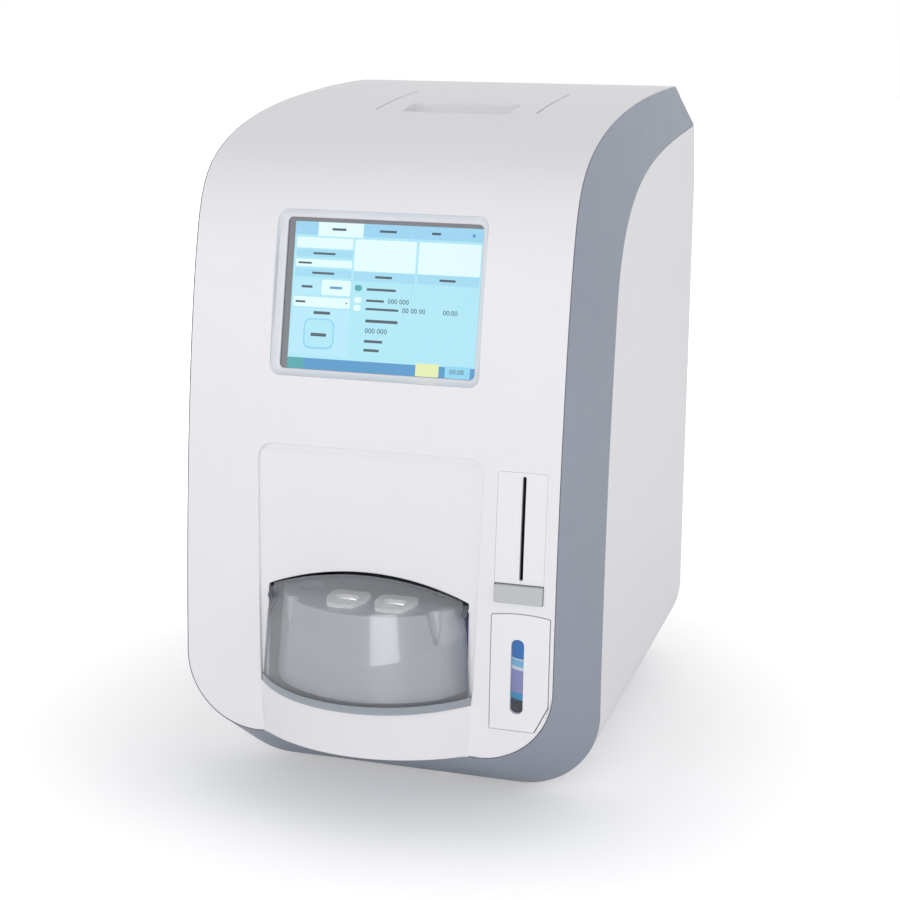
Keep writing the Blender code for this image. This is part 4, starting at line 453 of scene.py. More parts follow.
def loft(name, rings, mirror=False):
    """A solid through rings of equal count; for a mirror its last end stays open."""
    count = len(rings[0])
    faces = strips(len(rings), count) + [tuple(reversed(range(count)))]
    if not mirror:
        last = (len(rings) - 1) * count
        faces.append(tuple(range(last, last + count)))
    mesh = mesh_from(name, [point for ring in rings for point in ring], faces)
    if not mirror:
        cleaned(mesh)
    return shape_from(name, mesh)


TURNS = {
    'Z': Matrix.Identity(4),
    'Y': Matrix.Rotation(math.radians(-90), 4, 'X'),
    'X': Matrix.Rotation(math.radians(90), 4, 'Y'),
}


def rod(name, centre, radius, start, end, axis='Z', sides=48, end_radius=None):
    form = bmesh.new()
    last = radius if end_radius is None else end_radius
    bmesh.ops.create_cone(form, cap_ends=True, segments=sides, radius1=radius, radius2=last,
                          depth=end - start)
    bmesh.ops.transform(form, matrix=TURNS[axis], verts=form.verts)
    place = list(centre)
    place.insert('XYZ'.index(axis), (start + end) / 2)
    bmesh.ops.translate(form, vec=place, verts=form.verts)
    mesh = bpy.data.meshes.new(name)
    form.to_mesh(mesh)
    form.free()
    return shape_from(name, mesh)


def turned(name, profile, place, sides=72):
    """A closed profile of (radius, height) points turned round an upright axis."""
    angles = [math.tau * k / sides for k in range(sides)]
    points = [(place[0] + r * math.cos(a), place[1] + r * math.sin(a), place[2] + z)
              for a in angles for r, z in profile]
    count = len(profile)
    faces = []
    for k in range(sides):
        here, there = k * count, (k + 1) % sides * count
        for i in range(count - 1):
            faces.append((here + i, there + i, there + i + 1, here + i + 1))
    mesh = mesh_from(name, points, faces)
    cleaned(mesh, collapse=True)
    return shape_from(name, mesh)


def combine(shape, tools, operation):
    for tool in tools:
        change = shape.modifiers.new(operation.title(), 'BOOLEAN')
        change.operation = operation
        change.solver = 'EXACT'
        change.object = tool
    solid = as_mesh(shape)
    for tool in tools:
        bpy.data.objects.remove(tool, do_unlink=True)
    return solid


def cut(shape, *tools):
    return combine(shape, tools, 'DIFFERENCE')


def join(shape, *tools):
    return combine(shape, tools, 'UNION')


def meet(shape, *tools):
    return combine(shape, tools, 'INTERSECT')


def gathered(shapes):
    """The shapes as one piece, each with its own surfaces."""
    with bpy.context.temp_override(active_object=shapes[0], selected_editable_objects=shapes):
        bpy.ops.object.join()
    return shapes[0]


def eased(shape, width, steps=2, angle=32, merge=True):
    """The shape with its sharp edges rounded a little, as the mould leaves them.

    A wall with many slots isn't merged, because one face with that many holes folds over itself.
    """
    form = bmesh.new()
    form.from_mesh(shape.data)
    bmesh.ops.remove_doubles(form, verts=form.verts, dist=WELD)
    if merge:
        bmesh.ops.dissolve_limit(form, angle_limit=math.radians(0.2), verts=form.verts,
                                 edges=form.edges, delimit={'MATERIAL'})
    form.to_mesh(shape.data)
    form.free()
    rounding = shape.modifiers.new("Rounding", 'BEVEL')
    rounding.limit_method = 'ANGLE'
    rounding.angle_limit = math.radians(angle)
    rounding.width = width
    rounding.segments = steps
    rounding.use_clamp_overlap = False
    rounding.miter_outer = 'MITER_ARC'
    rounding.harden_normals = False
    return as_mesh(shape)


def shaded(shape, angle=32):
    """Smooth faces that meet at sharp edges; the larger faces lead, so flat walls look flat."""
    shape.data.shade_smooth()
    shape.data.set_sharp_from_angle(angle=math.radians(angle))
    leading = shape.modifiers.new("Leading faces", 'WEIGHTED_NORMAL')
    leading.mode = 'FACE_AREA'
    leading.keep_sharp = True
    return as_mesh(shape)


def piece(shape, name, body, slot, surface, *stands_for):
    """Names a finished piece, gives it its surface and seats it on its body."""
    shape.name = name
    shape.data.name = name
    shape.data.materials.clear()
    shape.data.materials.append(surface)
    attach(shape, body)
    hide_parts(*stands_for)
    return shape


# Surfaces
def fill(tree, target, given):
    """Gives the inputs of a node their values and links."""
    for name, value in given.items():
        if isinstance(value, bpy.types.NodeSocket):
            tree.links.new(value, target.inputs[name])
        else:
            target.inputs[name].default_value = value


def node(tree, kind, output, given, **settings):
    """Adds a node with its settings and inputs, and returns one of its outputs."""
    added = tree.nodes.new(kind)
    for setting, value in settings.items():
        setattr(added, setting, value)
    fill(tree, added, given)
    return added.outputs[output]


def maths(tree, operation, first, second):
    return node(tree, 'ShaderNodeMath', "Value", {0: first, 1: second}, operation=operation)


def new_surface(name):
    surface = bpy.data.materials.new(name)
    surface.use_nodes = True
    tree = surface.node_tree
    return surface, tree, tree.nodes["Principled BSDF"], node(tree, 'ShaderNodeTexCoord', "Object", {})


def noise(tree, place, scale, detail=3.0, roughness=0.55, stretch=None):
    if stretch is not None:
        place = node(tree, 'ShaderNodeMapping', "Vector", {"Vector": place, "Scale": stretch})
    return node(tree, 'ShaderNodeTexNoise', "Fac",
                {"Vector": place, "Scale": scale, "Detail": detail, "Roughness": roughness})


def spread(tree, value, low, high, start=0.25, end=0.75):
    """A value brought from one range, by default the middle of a noise, to another."""
    return node(tree, 'ShaderNodeMapRange', "Result",
                {"Value": value, "From Min": start, "From Max": end, "To Min": low, "To Max": high})


def blend_colours(tree, factor, first, second):
    return node(tree, 'ShaderNodeMix', "Result",
                {"Factor": factor, "A": (*first, 1), "B": (*second, 1)}, data_type='RGBA')


def shade(colour, share):
    return tuple(c * share for c in colour)


def clouded(tree, value, colour, tone):
    """The colour, with clouds of a darker tone of it."""
    return blend_colours(tree, spread(tree, value, 0.0, 1.0), shade(colour, tone), colour)


def grain(tree, shader, value, strength, distance):
    bump = {"Height": value, "Strength": strength, "Distance": distance}
    fill(tree, shader, {"Normal": node(tree, 'ShaderNodeBump', "Normal", bump)})


def moulded(name, colour, roughness, tone=0.985, pores=2600, strength=0.12, metallic=0.0, coat=0.0):
    """Moulded plastic: an even colour with faint clouds, fine spark-eroded grain and uneven sheen."""
    surface, tree, shader, place = new_surface(name)
    fill(tree, shader, {
        "Base Color": clouded(tree, noise(tree, place, 9.0, 2.0), colour, tone),
        "Roughness": spread(tree, noise(tree, place, 60.0), roughness - 0.03, roughness + 0.03),
        "Metallic": metallic, "Coat Weight": coat, "Coat Roughness": 0.12})
    grain(tree, shader, noise(tree, place, pores, 2.0, 0.6), strength, 0.00005)
    return surface


def painted_glow_plastic(name, colour, roughness, level, glow):
    """White plastic whose part below a level glows: painted light, standing in for light that comes
    through the thin wall into the shaded well.
    """
    surface = moulded(name, colour, roughness)
    tree = surface.node_tree
    place = node(tree, 'ShaderNodeTexCoord', "Object", {})
    height = node(tree, 'ShaderNodeSeparateXYZ', "Z", {"Vector": place})
    fill(tree, tree.nodes["Principled BSDF"], {
        "Emission Color": (*colour, 1),
        "Emission Strength": spread(tree, height, glow, 0.0, level, level + 0.001)})
    return surface


def machined(name, colour, roughness, stretch=(1, 1, 40)):
    """Machined or rolled metal with fine drawn lines."""
    surface, tree, shader, place = new_surface(name)
    drawn = noise(tree, place, 90.0, 4.0, 0.6, stretch)
    fill(tree, shader, {
        "Base Color": clouded(tree, drawn, colour, 0.86),
        "Roughness": spread(tree, drawn, roughness - 0.06, roughness + 0.08), "Metallic": 1.0})
    grain(tree, shader, drawn, 0.15, 0.00003)
    return surface


def clear(name, colour, facing, grazing, roughness=0.06, gloss=0.0):
    """Clear plastic that looks denser where it is seen along its wall."""
    surface, tree, shader, place = new_surface(name)
    angle = node(tree, 'ShaderNodeLayerWeight', "Facing", {"Blend": 0.35})
    clouds = noise(tree, place, 25.0, 2.0)
    fill(tree, shader, {
        "Alpha": spread(tree, angle, facing, grazing, 0.0, 1.0),
        "Base Color": clouded(tree, clouds, colour, 0.97),
        "Roughness": roughness, "IOR": 1.49, "Specular IOR Level": 0.6,
        "Coat Weight": gloss, "Coat IOR": 2.8, "Coat Roughness": 0.14})
    grain(tree, shader, clouds, 0.04, 0.0002)
    return surface


def lit(name, colour, glow):
    """A patch of the lit display, with the faint raster of its cells."""
    surface, tree, shader, place = new_surface(name)
    cells = noise(tree, place, 1400.0, 1.0)
    fill(tree, shader, {
        "Emission Color": clouded(tree, cells, colour, 0.96),
        "Emission Strength": glow * DISPLAY_LEVEL,
        "Base Color": blend_colours(tree, cells, shade(colour, 0.20), shade(colour, 0.24)),
        "Roughness": 0.28})
    return surface


def board(name):
    """Circuit board with rows of tracks."""
    surface, tree, shader, place = new_surface(name)
    upright = node(tree, 'ShaderNodeMapping', "Vector",
                   {"Vector": place, "Rotation": (math.radians(90), 0, 0)})
    tracks = node(tree, 'ShaderNodeTexBrick', "Color", {
        "Vector": upright, "Scale": 160.0, "Mortar Size": 0.03, "Color1": (0.03, 0.17, 0.08, 1),
        "Color2": (0.04, 0.21, 0.10, 1), "Mortar": (0.07, 0.30, 0.15, 1)})
    fill(tree, shader, {
        "Base Color": tracks, "Roughness": spread(tree, noise(tree, place, 300.0), 0.25, 0.4)})
    return surface


def wound_paper(name):
    """The edges and the face of a paper roll."""
    surface, tree, shader, place = new_surface(name)
    layers = noise(tree, place, 500.0, 3.0, 0.6, (1, 1, 0.05))
    fill(tree, shader, {
        "Base Color": blend_colours(tree, layers, (0.76, 0.76, 0.73), (0.88, 0.88, 0.86)),
        "Roughness": 0.8})
    grain(tree, shader, layers, 0.2, 0.00004)
    return surface


def banded(name, bands, roughness):
    """A label of plain colour bands, from the lowest up, on a bottle; it glows in its own colours,
    painted light standing in for the light behind the window.
    """
    surface, tree, shader, place = new_surface(name)
    low, high = bands[0][0], bands[-1][0] + LABEL_TOP
    height = node(tree, 'ShaderNodeSeparateXYZ', "Z", {"Vector": place})
    label = node(tree, 'ShaderNodeValToRGB', "Color", {"Fac": spread(tree, height, 0.0, 1.0, low, high)})
    ramp = label.node.color_ramp
    ramp.interpolation = 'CONSTANT'
    while len(ramp.elements) < len(bands):
        ramp.elements.new(0.5)
    for stop, (level, colour) in zip(ramp.elements, bands):
        stop.position = (level - low) / (high - low)
        stop.color = (*colour, 1)
    # The label glows in its own colours: painted light.
    fill(tree, shader, {
        "Base Color": label, "Emission Color": label, "Emission Strength": LABEL_PAINTED_GLOW,
        "Roughness": spread(tree, noise(tree, place, 220.0), roughness - 0.04, roughness + 0.05)})
    grain(tree, shader, noise(tree, place, 1800.0), 0.08, 0.00004)
    return surface


white = moulded("white_plastic_look", (0.84, 0.835, 0.87), 0.38)
white_door = moulded("door_plastic_look", (0.86, 0.855, 0.885), 0.36)
side_white = moulded("side_plastic_look", (0.86, 0.855, 0.885), 0.44)
band_grey = moulded("band_plastic_look", (0.285, 0.325, 0.395), 0.42, tone=0.95)
drum_grey = moulded("drum_plastic_look", (0.42, 0.435, 0.475), 0.34, tone=0.98, strength=0.02,
                    metallic=0.2)
bar_grey = moulded("bar_plastic_look", (0.52, 0.545, 0.565), 0.30, tone=0.95, coat=0.3)
light_grey = moulded("light_plastic_look", (0.58, 0.60, 0.60), 0.42)
black = moulded("black_plastic_look", (0.022, 0.023, 0.026), 0.48, tone=0.8)
# The cups below the drum's top glow: painted light in the shaded wells.
cartridge_white = painted_glow_plastic("cartridge_plastic_look", (0.95, 0.95, 0.95), 0.36, DRUM_HIGH, 0.42)
smoke = clear("clear_cover_look", (0.46, 0.49, 0.54), 0.12, 0.46, gloss=1.0)
smoke_edge = clear("clear_cover_edge_look", (0.13, 0.15, 0.18), 0.62, 0.92, 0.12)
smoke_flange = clear("clear_cover_flange_look", (0.40, 0.44, 0.49), 0.72, 0.90, 0.10)
pane = clear("window_look", (0.62, 0.70, 0.80), 0.04, 0.40)
# Dark glass, seen as a border at the left and the top of the lit picture: painted shade of the screen
# recess.
glass_painted_shade = moulded("glass_painted_shade_look", (0.045, 0.055, 0.075), 0.12, tone=0.9, strength=0.0, coat=0.4)

SLOT_LOOKS = {
    "white_plastic": white,
    "side_plastic": side_white,
    "band_plastic": band_grey,
    "grey_plastic": drum_grey,
    "light_plastic": light_grey,
    "screen_glass": glass_painted_shade,
    "clear_plastic": pane,
    "black_plastic": black,
    "steel": machined("steel_look", (0.60, 0.61, 0.63), 0.28),
    "aluminium": machined("aluminium_look", (0.70, 0.71, 0.73), 0.36, (40, 1, 1)),
    "zinc_sheet": machined("zinc_sheet_look", (0.52, 0.54, 0.56), 0.42, (1, 30, 1)),
    "brass": machined("brass_look", (0.74, 0.58, 0.28), 0.30),
    "board_green": board("board_look"),
    "rubber": moulded("rubber_look", (0.030, 0.030, 0.031), 0.72, tone=0.8, pores=1500, strength=0.25),
    "paper": wound_paper("paper_look"),
    "bottle_plastic": banded("bottle_look", [
        (0.062, (0.01, 0.33, 0.66)), (0.0840, (0.31, 0.31, 0.62)), (0.0985, (0.78, 0.88, 0.95)),
        (0.1005, (0.22, 0.56, 0.84)), (0.1046, (0.70, 0.80, 0.92)), (0.1056, (0.002, 0.17, 0.58)),
        (0.1180, (0.002, 0.15, 0.52))], 0.30),
    "cap_plastic": moulded("cap_look", (0.12, 0.27, 0.58), 0.34, tone=0.94),
}
for name, thing in nodes.items():
    for slot in thing.material_slots:
        slot.material = SLOT_LOOKS[slots[name]]

# Profile of the body
cover_upper, cover_lower = profile_curves(COVER_PROFILE_SHARES)
band_upper, band_lower = profile_curves(BAND_PROFILE_SHARES)
cover_side = between(cover_lower, COVER_LOW + COVER_CORNER, BODY_HEIGHT)
band_side = band_lower + [(band_lower[-1][0], FLOOR + PANEL_CORNER)]
COVER_LINE = (resample(cover_upper, PROFILE_STEPS) + resample(cover_side, PROFILE_STEPS)[1:]
              + [cover_lower[-1]])
BAND_LINE = resample(band_upper, PROFILE_STEPS) + resample(band_side, PROFILE_STEPS)[1:]


def read_line(line, place, axis, beyond):
    """What a falling line reads at a place along one axis, or the value beyond its ends."""
    other = 1 - axis
    for a, b in zip(line, line[1:]):
        if b[axis] <= place <= a[axis]:
            return a[other] + (b[other] - a[other]) * (place - a[axis]) / (b[axis] - a[axis])
    return beyond


def front_y(z):
    return read_line(COVER_LINE[PROFILE_STEPS // 2:], z, 1, COVER_LINE[-1][0])


def bay_y(z):
    return front_y(z) + BAY_DEPTH


def top_z(y):
    return read_line(COVER_LINE, y, 0, BODY_HEIGHT)


# Front cover: skin, display seat, bay, lip, arch and the openings of grip, printer and reagent
cover_foot = COVER_LOW + SEAM
cover_round = COVER_CORNER - SEAM
cover_silhouette = (
    [(COVER_HALF, BODY_HEIGHT + OVERRUN), (-COVER_HALF, BODY_HEIGHT + OVERRUN)]
    + arc((-COVER_HALF + cover_round, cover_foot + cover_round), cover_round, 180, 270, CORNER_STEPS)
    + arc((COVER_HALF - cover_round, cover_foot + cover_round), cover_round, 270, 360, CORNER_STEPS))
cover = layer("cover", COVER_LINE, 0, COVER_WALL)
cover = meet(cover, front_plate("silhouette", cover_silhouette, HALF_DEPTH + OVERRUN))
screen_low = SCREEN_CENTRE - SCREEN_HEIGHT / 2 - BEZEL_SLOPE
screen_high = SCREEN_CENTRE + SCREEN_HEIGHT / 2 + BEZEL_SLOPE
screen_up = Vector((0, front_y(screen_high) - front_y(screen_low), screen_high - screen_low)).normalized()
screen_out = Vector((1, 0, 0)).cross(screen_up)
screen_centre = Vector((0, (front_y(screen_high) + front_y(screen_low)) / 2, SCREEN_CENTRE))


def on_screen(u, v, depth):
    return tuple(Vector((u, 0, 0)) + screen_centre + screen_up * v - screen_out * depth)


def screen_ring(half_u, half_v, corner, depth):
    outline = rounded(-half_u, half_u, -half_v, half_v, corner, SCREEN_STEPS)
    return [on_screen(u, v, depth) for u, v in outline]


half_u = SCREEN_WIDTH / 2
half_v = SCREEN_HEIGHT / 2
shelf_depth = BEZEL_DEPTH + SEAM
cover = join(cover, loft("pad", [screen_ring(half_u + PAD_MARGIN, half_v + PAD_RIM, BEZEL_CORNER, depth)
                                 for depth in (COVER_WALL / 2, PAD_DEPTH)]))
bezel = [(BEZEL_SLOPE, -BEZEL_DEPTH, 2)]
for k in range(SCREEN_STEPS + 1):
    t = k / SCREEN_STEPS
    bezel.append((BEZEL_SLOPE * (1 - t), BEZEL_DEPTH * (t + BEZEL_BULGE * math.sin(math.pi * t)), 2 - t))
bezel.append((0, PAD_DEPTH + BEZEL_DEPTH, 1))
opening = loft("screen_opening", [screen_ring(half_u + grow, half_v + grow, BEZEL_CORNER * curl, depth)
                                  for grow, depth, curl in bezel])
seat = loft("glass_seat", [screen_ring(half_u + SHELF, half_v + SHELF, BEZEL_CORNER, depth)
                           for depth in (shelf_depth, PAD_DEPTH + BEZEL_DEPTH)])
bay_outline = ([(-BAY_FOOT_HALF, LIP_TOP), (BAY_FOOT_HALF, LIP_TOP)]
               + arc((BAY_HALF - BAY_CORNER, BAY_TOP - BAY_CORNER), BAY_CORNER, 0, 90, 12)
               + arc((-BAY_HALF + BAY_CORNER, BAY_TOP - BAY_CORNER), BAY_CORNER, 90, 180, 12))
bay_band = between(COVER_LINE, LIP_TOP - COVER_WALL, BAY_TOP + COVER_WALL)
bay_back = layer("bay_back", bay_band, COVER_WALL / 2, BAY_DEPTH + COVER_WALL,
                 -BAY_HALF - COVER_WALL, BAY_HALF + COVER_WALL)
lip_y = front_y(LIP_TOP)
lip_low = cover_foot + SEAM


def lip_ring(half, bulge, back, z):
    ring = [(x, lip_y + v, z) for x, v in bow(half, bulge, ARC_STEPS)]
    return ring + [(half, back, z), (-half, back, z)]


lip_back = lip_y + COVER_WALL / 2
lip = loft("lip", [lip_ring(LIP_HALF, LIP_BULGE, lip_back, lip_low),
                   lip_ring(LIP_HALF, LIP_TOP_BULGE, lip_back, LIP_TOP)])
cover = join(cut(cover, opening, seat), bay_back, lip)
bay_cut = layer("bay_recess", between(COVER_LINE, LIP_TOP - OVERRUN, BAY_TOP + OVERRUN),
                -OVERRUN, BAY_DEPTH)
bay_cut = meet(bay_cut, front_plate("bay_outline", bay_outline, 0))
cavity_half = LIP_HALF - LIP_WALL
cavity_back = lip_y + OVERRUN
lip_cavity = loft("lip_cavity", [
    lip_ring(cavity_half, LIP_BULGE - LIP_WALL, cavity_back, lip_low + LIP_WALL),
    lip_ring(cavity_half, LIP_TOP_BULGE - LIP_WALL, cavity_back, LIP_TOP),
    lip_ring(cavity_half, LIP_TOP_BULGE - LIP_WALL, cavity_back, LIP_TOP + LIP_WALL)])
arch = [(x, ARCH_SPRING - v) for x, v in reversed(bow(ARCH_TOP_HALF, ARCH_RISE, ARC_STEPS))]
arch_foot = [(-ARCH_HALF, LIP_TOP + SEAM), (ARCH_HALF, LIP_TOP + SEAM)]
arch_opening = front_plate("arch_opening", arch_foot + arch, cavity_back)
grip_opening = plate("grip_opening", rounded(GRIP_LEFT, GRIP_RIGHT, GRIP_FRONT, GRIP_REAR, GRIP_CORNER),
                     BODY_HEIGHT - OVERRUN, BODY_HEIGHT + OVERRUN)
printer_rear = front_y(PRINTER_HIGH) + OVERRUN
printer_opening = front_plate(
    "printer_opening", rounded(PRINTER_LEFT, PRINTER_RIGHT, BAR_LOW, PRINTER_HIGH, PRINTER_CORNER, 3),
    printer_rear)


def reagent_outline(inset):
    left = REAGENT_LEFT + inset
    right = REAGENT_RIGHT - inset
    low = REAGENT_LOW + inset
    spring = REAGENT_HIGH - inset - REAGENT_RISE
    top = [((left + right) / 2 + x, spring - v)
           for x, v in reversed(bow((right - left) / 2, REAGENT_RISE, 16))]
    return [(left, low), (right - REAGENT_CUT_WIDTH, low), (right, low + REAGENT_CUT_HEIGHT)] + top


reagent_rear = front_y(REAGENT_HIGH) + OVERRUN
reagent_opening = front_plate("reagent_opening", reagent_outline(0), reagent_rear)
cover = cut(cover, bay_cut, lip_cavity, arch_opening, grip_opening, reagent_opening)
hinge_y = bay_y(HINGE_Z) + COVER_WALL / 2
lug_out = ARCH_TOP_HALF - LUG_INSET
lug_in = lug_out - LUG_WALL
for side in (-1, 1):
    low, high = sorted((side * lug_out, side * (ARCH_TOP_HALF + LUG_RADIUS + SEAM)))
    cover = cut(cover, rod("pin_hole", (hinge_y, HINGE_Z), HINGE_RADIUS + SEAM, low, high, 'X', sides=24))
cover = shaded(cut(eased(cover, COVER_EDGE), printer_opening))
piece(cover, "cover_moulding", "housing", "white_plastic", white, "front_cover")

# Band round the cover and the side panels
corner_in = (BAND_HALF - COVER_CORNER, COVER_LOW + COVER_CORNER)
corner_out = (HALF_WIDTH - PANEL_CORNER, FLOOR + PANEL_CORNER)
band_front = BAND_LINE[-1][0]


def band_ring(inner, outer, direction):
    a = Vector(inner)
    b = Vector(outer)
    out = Vector(direction)
    span = b - a
    reach = span.dot(out)
    d = a + (span - out * reach) * (BAND_WALL / reach)
    return [tuple(a), tuple(d), tuple(b - out * BAND_WALL), tuple(b)]


band_rings = []
for inner, outer in zip(COVER_LINE, BAND_LINE):
    band_rings.append(band_ring((BAND_HALF, *inner), (HALF_WIDTH, *outer), (1, 0, 0)))
arc_in = arc(corner_in, COVER_CORNER, 0, -90, CORNER_STEPS)[1:]
arc_out = arc(corner_out, PANEL_CORNER, 0, -90, CORNER_STEPS)[1:]
for i, (inner, outer) in enumerate(zip(arc_in, arc_out)):
    angle = math.radians(-90 * (i + 1) / CORNER_STEPS)
    band_rings.append(band_ring((inner[0], front_y(inner[1]), inner[1]), (outer[0], band_front, outer[1]),
                                (math.cos(angle), 0, math.sin(angle))))
band_rings.append(band_ring((0, front_y(COVER_LOW), COVER_LOW), (0, band_front, FLOOR), (0, 0, -1)))
band = loft("band", band_rings, mirror=True)
other_side = band.modifiers.new("Other side", 'MIRROR')
other_side.use_axis = (True, False, False)
other_side.use_clip = True
other_side.merge_threshold = WELD
band = as_mesh(band)
cleaned(band.data)
piece(shaded(eased(band, BAND_EDGE)), "band_moulding", "housing", "band_plastic", band_grey, "band_frame")

panel_outline = ([(TRAY_HALF + SEAM, FLOOR)]
                 + arc(corner_out, PANEL_CORNER, -90, 0, CORNER_STEPS)
                 + [(HALF_WIDTH, BODY_HEIGHT), (HALF_WIDTH - PANEL_WALL, BODY_HEIGHT)]
                 + arc(corner_out, PANEL_CORNER - PANEL_WALL, 0, -90, CORNER_STEPS)
                 + [(TRAY_HALF + SEAM, FLOOR + PANEL_WALL)])
panel_trim = offset_line(BAND_LINE, SEAM)
panel_trim += [(panel_trim[-1][0], FLOOR - OVERRUN), (REAR_Y, FLOOR - OVERRUN), (REAR_Y, REAR_BEND)]
for side, name in ((1, "right"), (-1, "left")):
    outline = [(side * x, z) for x, z in panel_outline]
    panel = plate("panel", outline, -HALF_DEPTH, HALF_DEPTH + OVERRUN, 'XZ')
    panel = meet(panel, plate("panel_trim", panel_trim, -BODY_WIDTH, BODY_WIDTH, 'YZ'))
    piece(shaded(eased(panel, BAND_EDGE)), "panel_" + name, "housing", "side_plastic", side_white,
          "side_panel_" + name)

# Grip plate with its pocket
grip_line = between(COVER_LINE, GRIP_FRONT - OVERRUN, GRIP_REAR + OVERRUN, axis=0)
grip_outline = rounded(GRIP_LEFT + GRIP_LEFT_SEAM, GRIP_RIGHT - GRIP_RIGHT_SEAM, GRIP_FRONT + SEAM,
                       GRIP_REAR - SEAM, GRIP_CORNER / 2)
grip = layer("grip", grip_line, 0, COVER_WALL)
grip = meet(grip, plate("grip_outline", grip_outline, BODY_HEIGHT - OVERRUN, BODY_HEIGHT + OVERRUN))
pocket_top = top_z((POCKET_FRONT + POCKET_REAR) / 2)
pocket_floor = pocket_top - POCKET_DEPTH


def pocket_ring(grow, slope, z):
    outline = rounded(POCKET_LEFT - grow, POCKET_RIGHT + grow, POCKET_FRONT - grow,
                      POCKET_REAR - slope + grow, POCKET_CORNER + grow)
    return [(x, y, z) for x, y in outline]


grip = join(grip, loft("pocket_shell", [
    [(x, y, top_z(y) - COVER_WALL / 2) for x, y, z in pocket_ring(POCKET_WALL, 0, 0)],
    pocket_ring(POCKET_WALL, POCKET_SLOPE, pocket_floor - POCKET_WALL)]))
grip = cut(grip, loft("pocket_space", [
    pocket_ring(0, 0, pocket_top + COVER_WALL),
    pocket_ring(0, 0, pocket_top - COVER_WALL / 2),
    pocket_ring(0, POCKET_SLOPE, pocket_floor)]))
piece(shaded(eased(grip, GRIP_EDGE, 3)), "grip_moulding", "housing", "white_plastic", white, "grip_plate")

# Printer door, release bar, reagent door and its window
door_low = PRINTER_LOW + SEAM
door_high = PRINTER_HIGH - SEAM / 3
door = layer("door", between(COVER_LINE, door_low, door_high), 0, DOOR_WALL,
             PRINTER_LEFT + SEAM / 3, PRINTER_RIGHT - SEAM / 3)
slot_outline = rounded(SLOT_X - SLOT_WIDTH / 2, SLOT_X + SLOT_WIDTH / 2, PRINTER_LOW + SLOT_MARGIN,
                       PRINTER_HIGH - SLOT_MARGIN, SLOT_WIDTH / 2 - WELD, 6)
door = cut(door, front_plate("paper_slot", slot_outline, printer_rear))
piece(shaded(eased(door, DOOR_EDGE)), "paper_door", "printer_door", "white_plastic", white_door,
      "printer_door")
bar_low = BAR_LOW + SEAM
bar_high = PRINTER_LOW - SEAM
bar_face = [(front_y(bar_low) - BAR_PROUD, bar_low), (front_y(bar_low) + BAR_DEPTH, bar_low),
            (front_y(bar_high) + BAR_DEPTH, bar_high), (front_y(bar_high) - BAR_PROUD, bar_high)]
bar = plate("bar", bar_face, PRINTER_LEFT + SEAM, PRINTER_RIGHT - SEAM, 'YZ')
piece(shaded(eased(bar, BAR_EDGE, 4), 60), "push_bar", "release_bar", "light_plastic", bar_grey,
      "release_bar")
reagent_line = between(COVER_LINE, REAGENT_LOW - REAGENT_RISE, REAGENT_HIGH + REAGENT_RISE)
hatch = layer("hatch", reagent_line, 0, DOOR_WALL, REAGENT_LEFT - OVERRUN, REAGENT_RIGHT + OVERRUN)
hatch = meet(hatch, front_plate("hatch_outline", reagent_outline(SEAM), reagent_rear))


def window_outline(inset):
    return rounded(WINDOW_X - WINDOW_WIDTH / 2 + inset, WINDOW_X + WINDOW_WIDTH / 2 - inset,
                   WINDOW_LOW + inset, WINDOW_HIGH - inset, WINDOW_WIDTH / 2 - inset - SEAM, 12)


hatch = cut(hatch, front_plate("window_opening", window_outline(0), reagent_rear))
piece(shaded(eased(hatch, HATCH_EDGE)), "reagent_hatch", "reagent_door", "white_plastic", white_door,
      "reagent_door")
window = layer("window", reagent_line, PANE_INSET, PANE_INSET + PANE_WALL, REAGENT_LEFT, REAGENT_RIGHT)
window = meet(window, front_plate("window_pane", window_outline(SEAM), reagent_rear))
piece(shaded(window), "reagent_window", "reagent_door", "clear_plastic", pane, "door_window")

# Reagent bottle with a rolled shoulder
quarter = [math.radians(d) for d in range(0, 91, 10)]
shoulder = [(BOTTLE_RADIUS * math.cos(a) + BOTTLE_NECK * (1 - math.cos(a)),
             BOTTLE_SHOULDER + BOTTLE_SLOPE * math.sin(a)) for a in quarter]
bottle_foot = [(0, 0), (BOTTLE_RADIUS - BOTTLE_CHAMFER, 0), (BOTTLE_RADIUS, BOTTLE_CHAMFER)]
bottle_mouth = [(BOTTLE_NECK, BOTTLE_HEIGHT), (0, BOTTLE_HEIGHT)]
bottle = turned("bottle", bottle_foot + shoulder + bottle_mouth, (BOTTLE_X, BOTTLE_Y, BOTTLE_LOW))
piece(shaded(bottle, 50), "bottle_body", "reagent_bottle", "bottle_plastic", SLOT_LOOKS["bottle_plastic"],
      "reagent_bottle")

# Clear cover with its crease, end facets, flange and hinge lugs
visor_low = LIP_TOP + SEAM
visor_front = -HALF_DEPTH
flange_top = visor_low + CLEAR_FLANGE
rim_y = bay_y(RIM_Z) - 2 * SEAM


def visor_row(half, front, end_z, middle_z):
    end_y = bay_y(end_z) - CLEAR_WALL - 2 * SEAM
    return [(x, end_y + v, middle_z + (end_z - middle_z) * (x / half) ** 2)
            for x, v in bow(half, end_y - front, CLEAR_STEPS)]


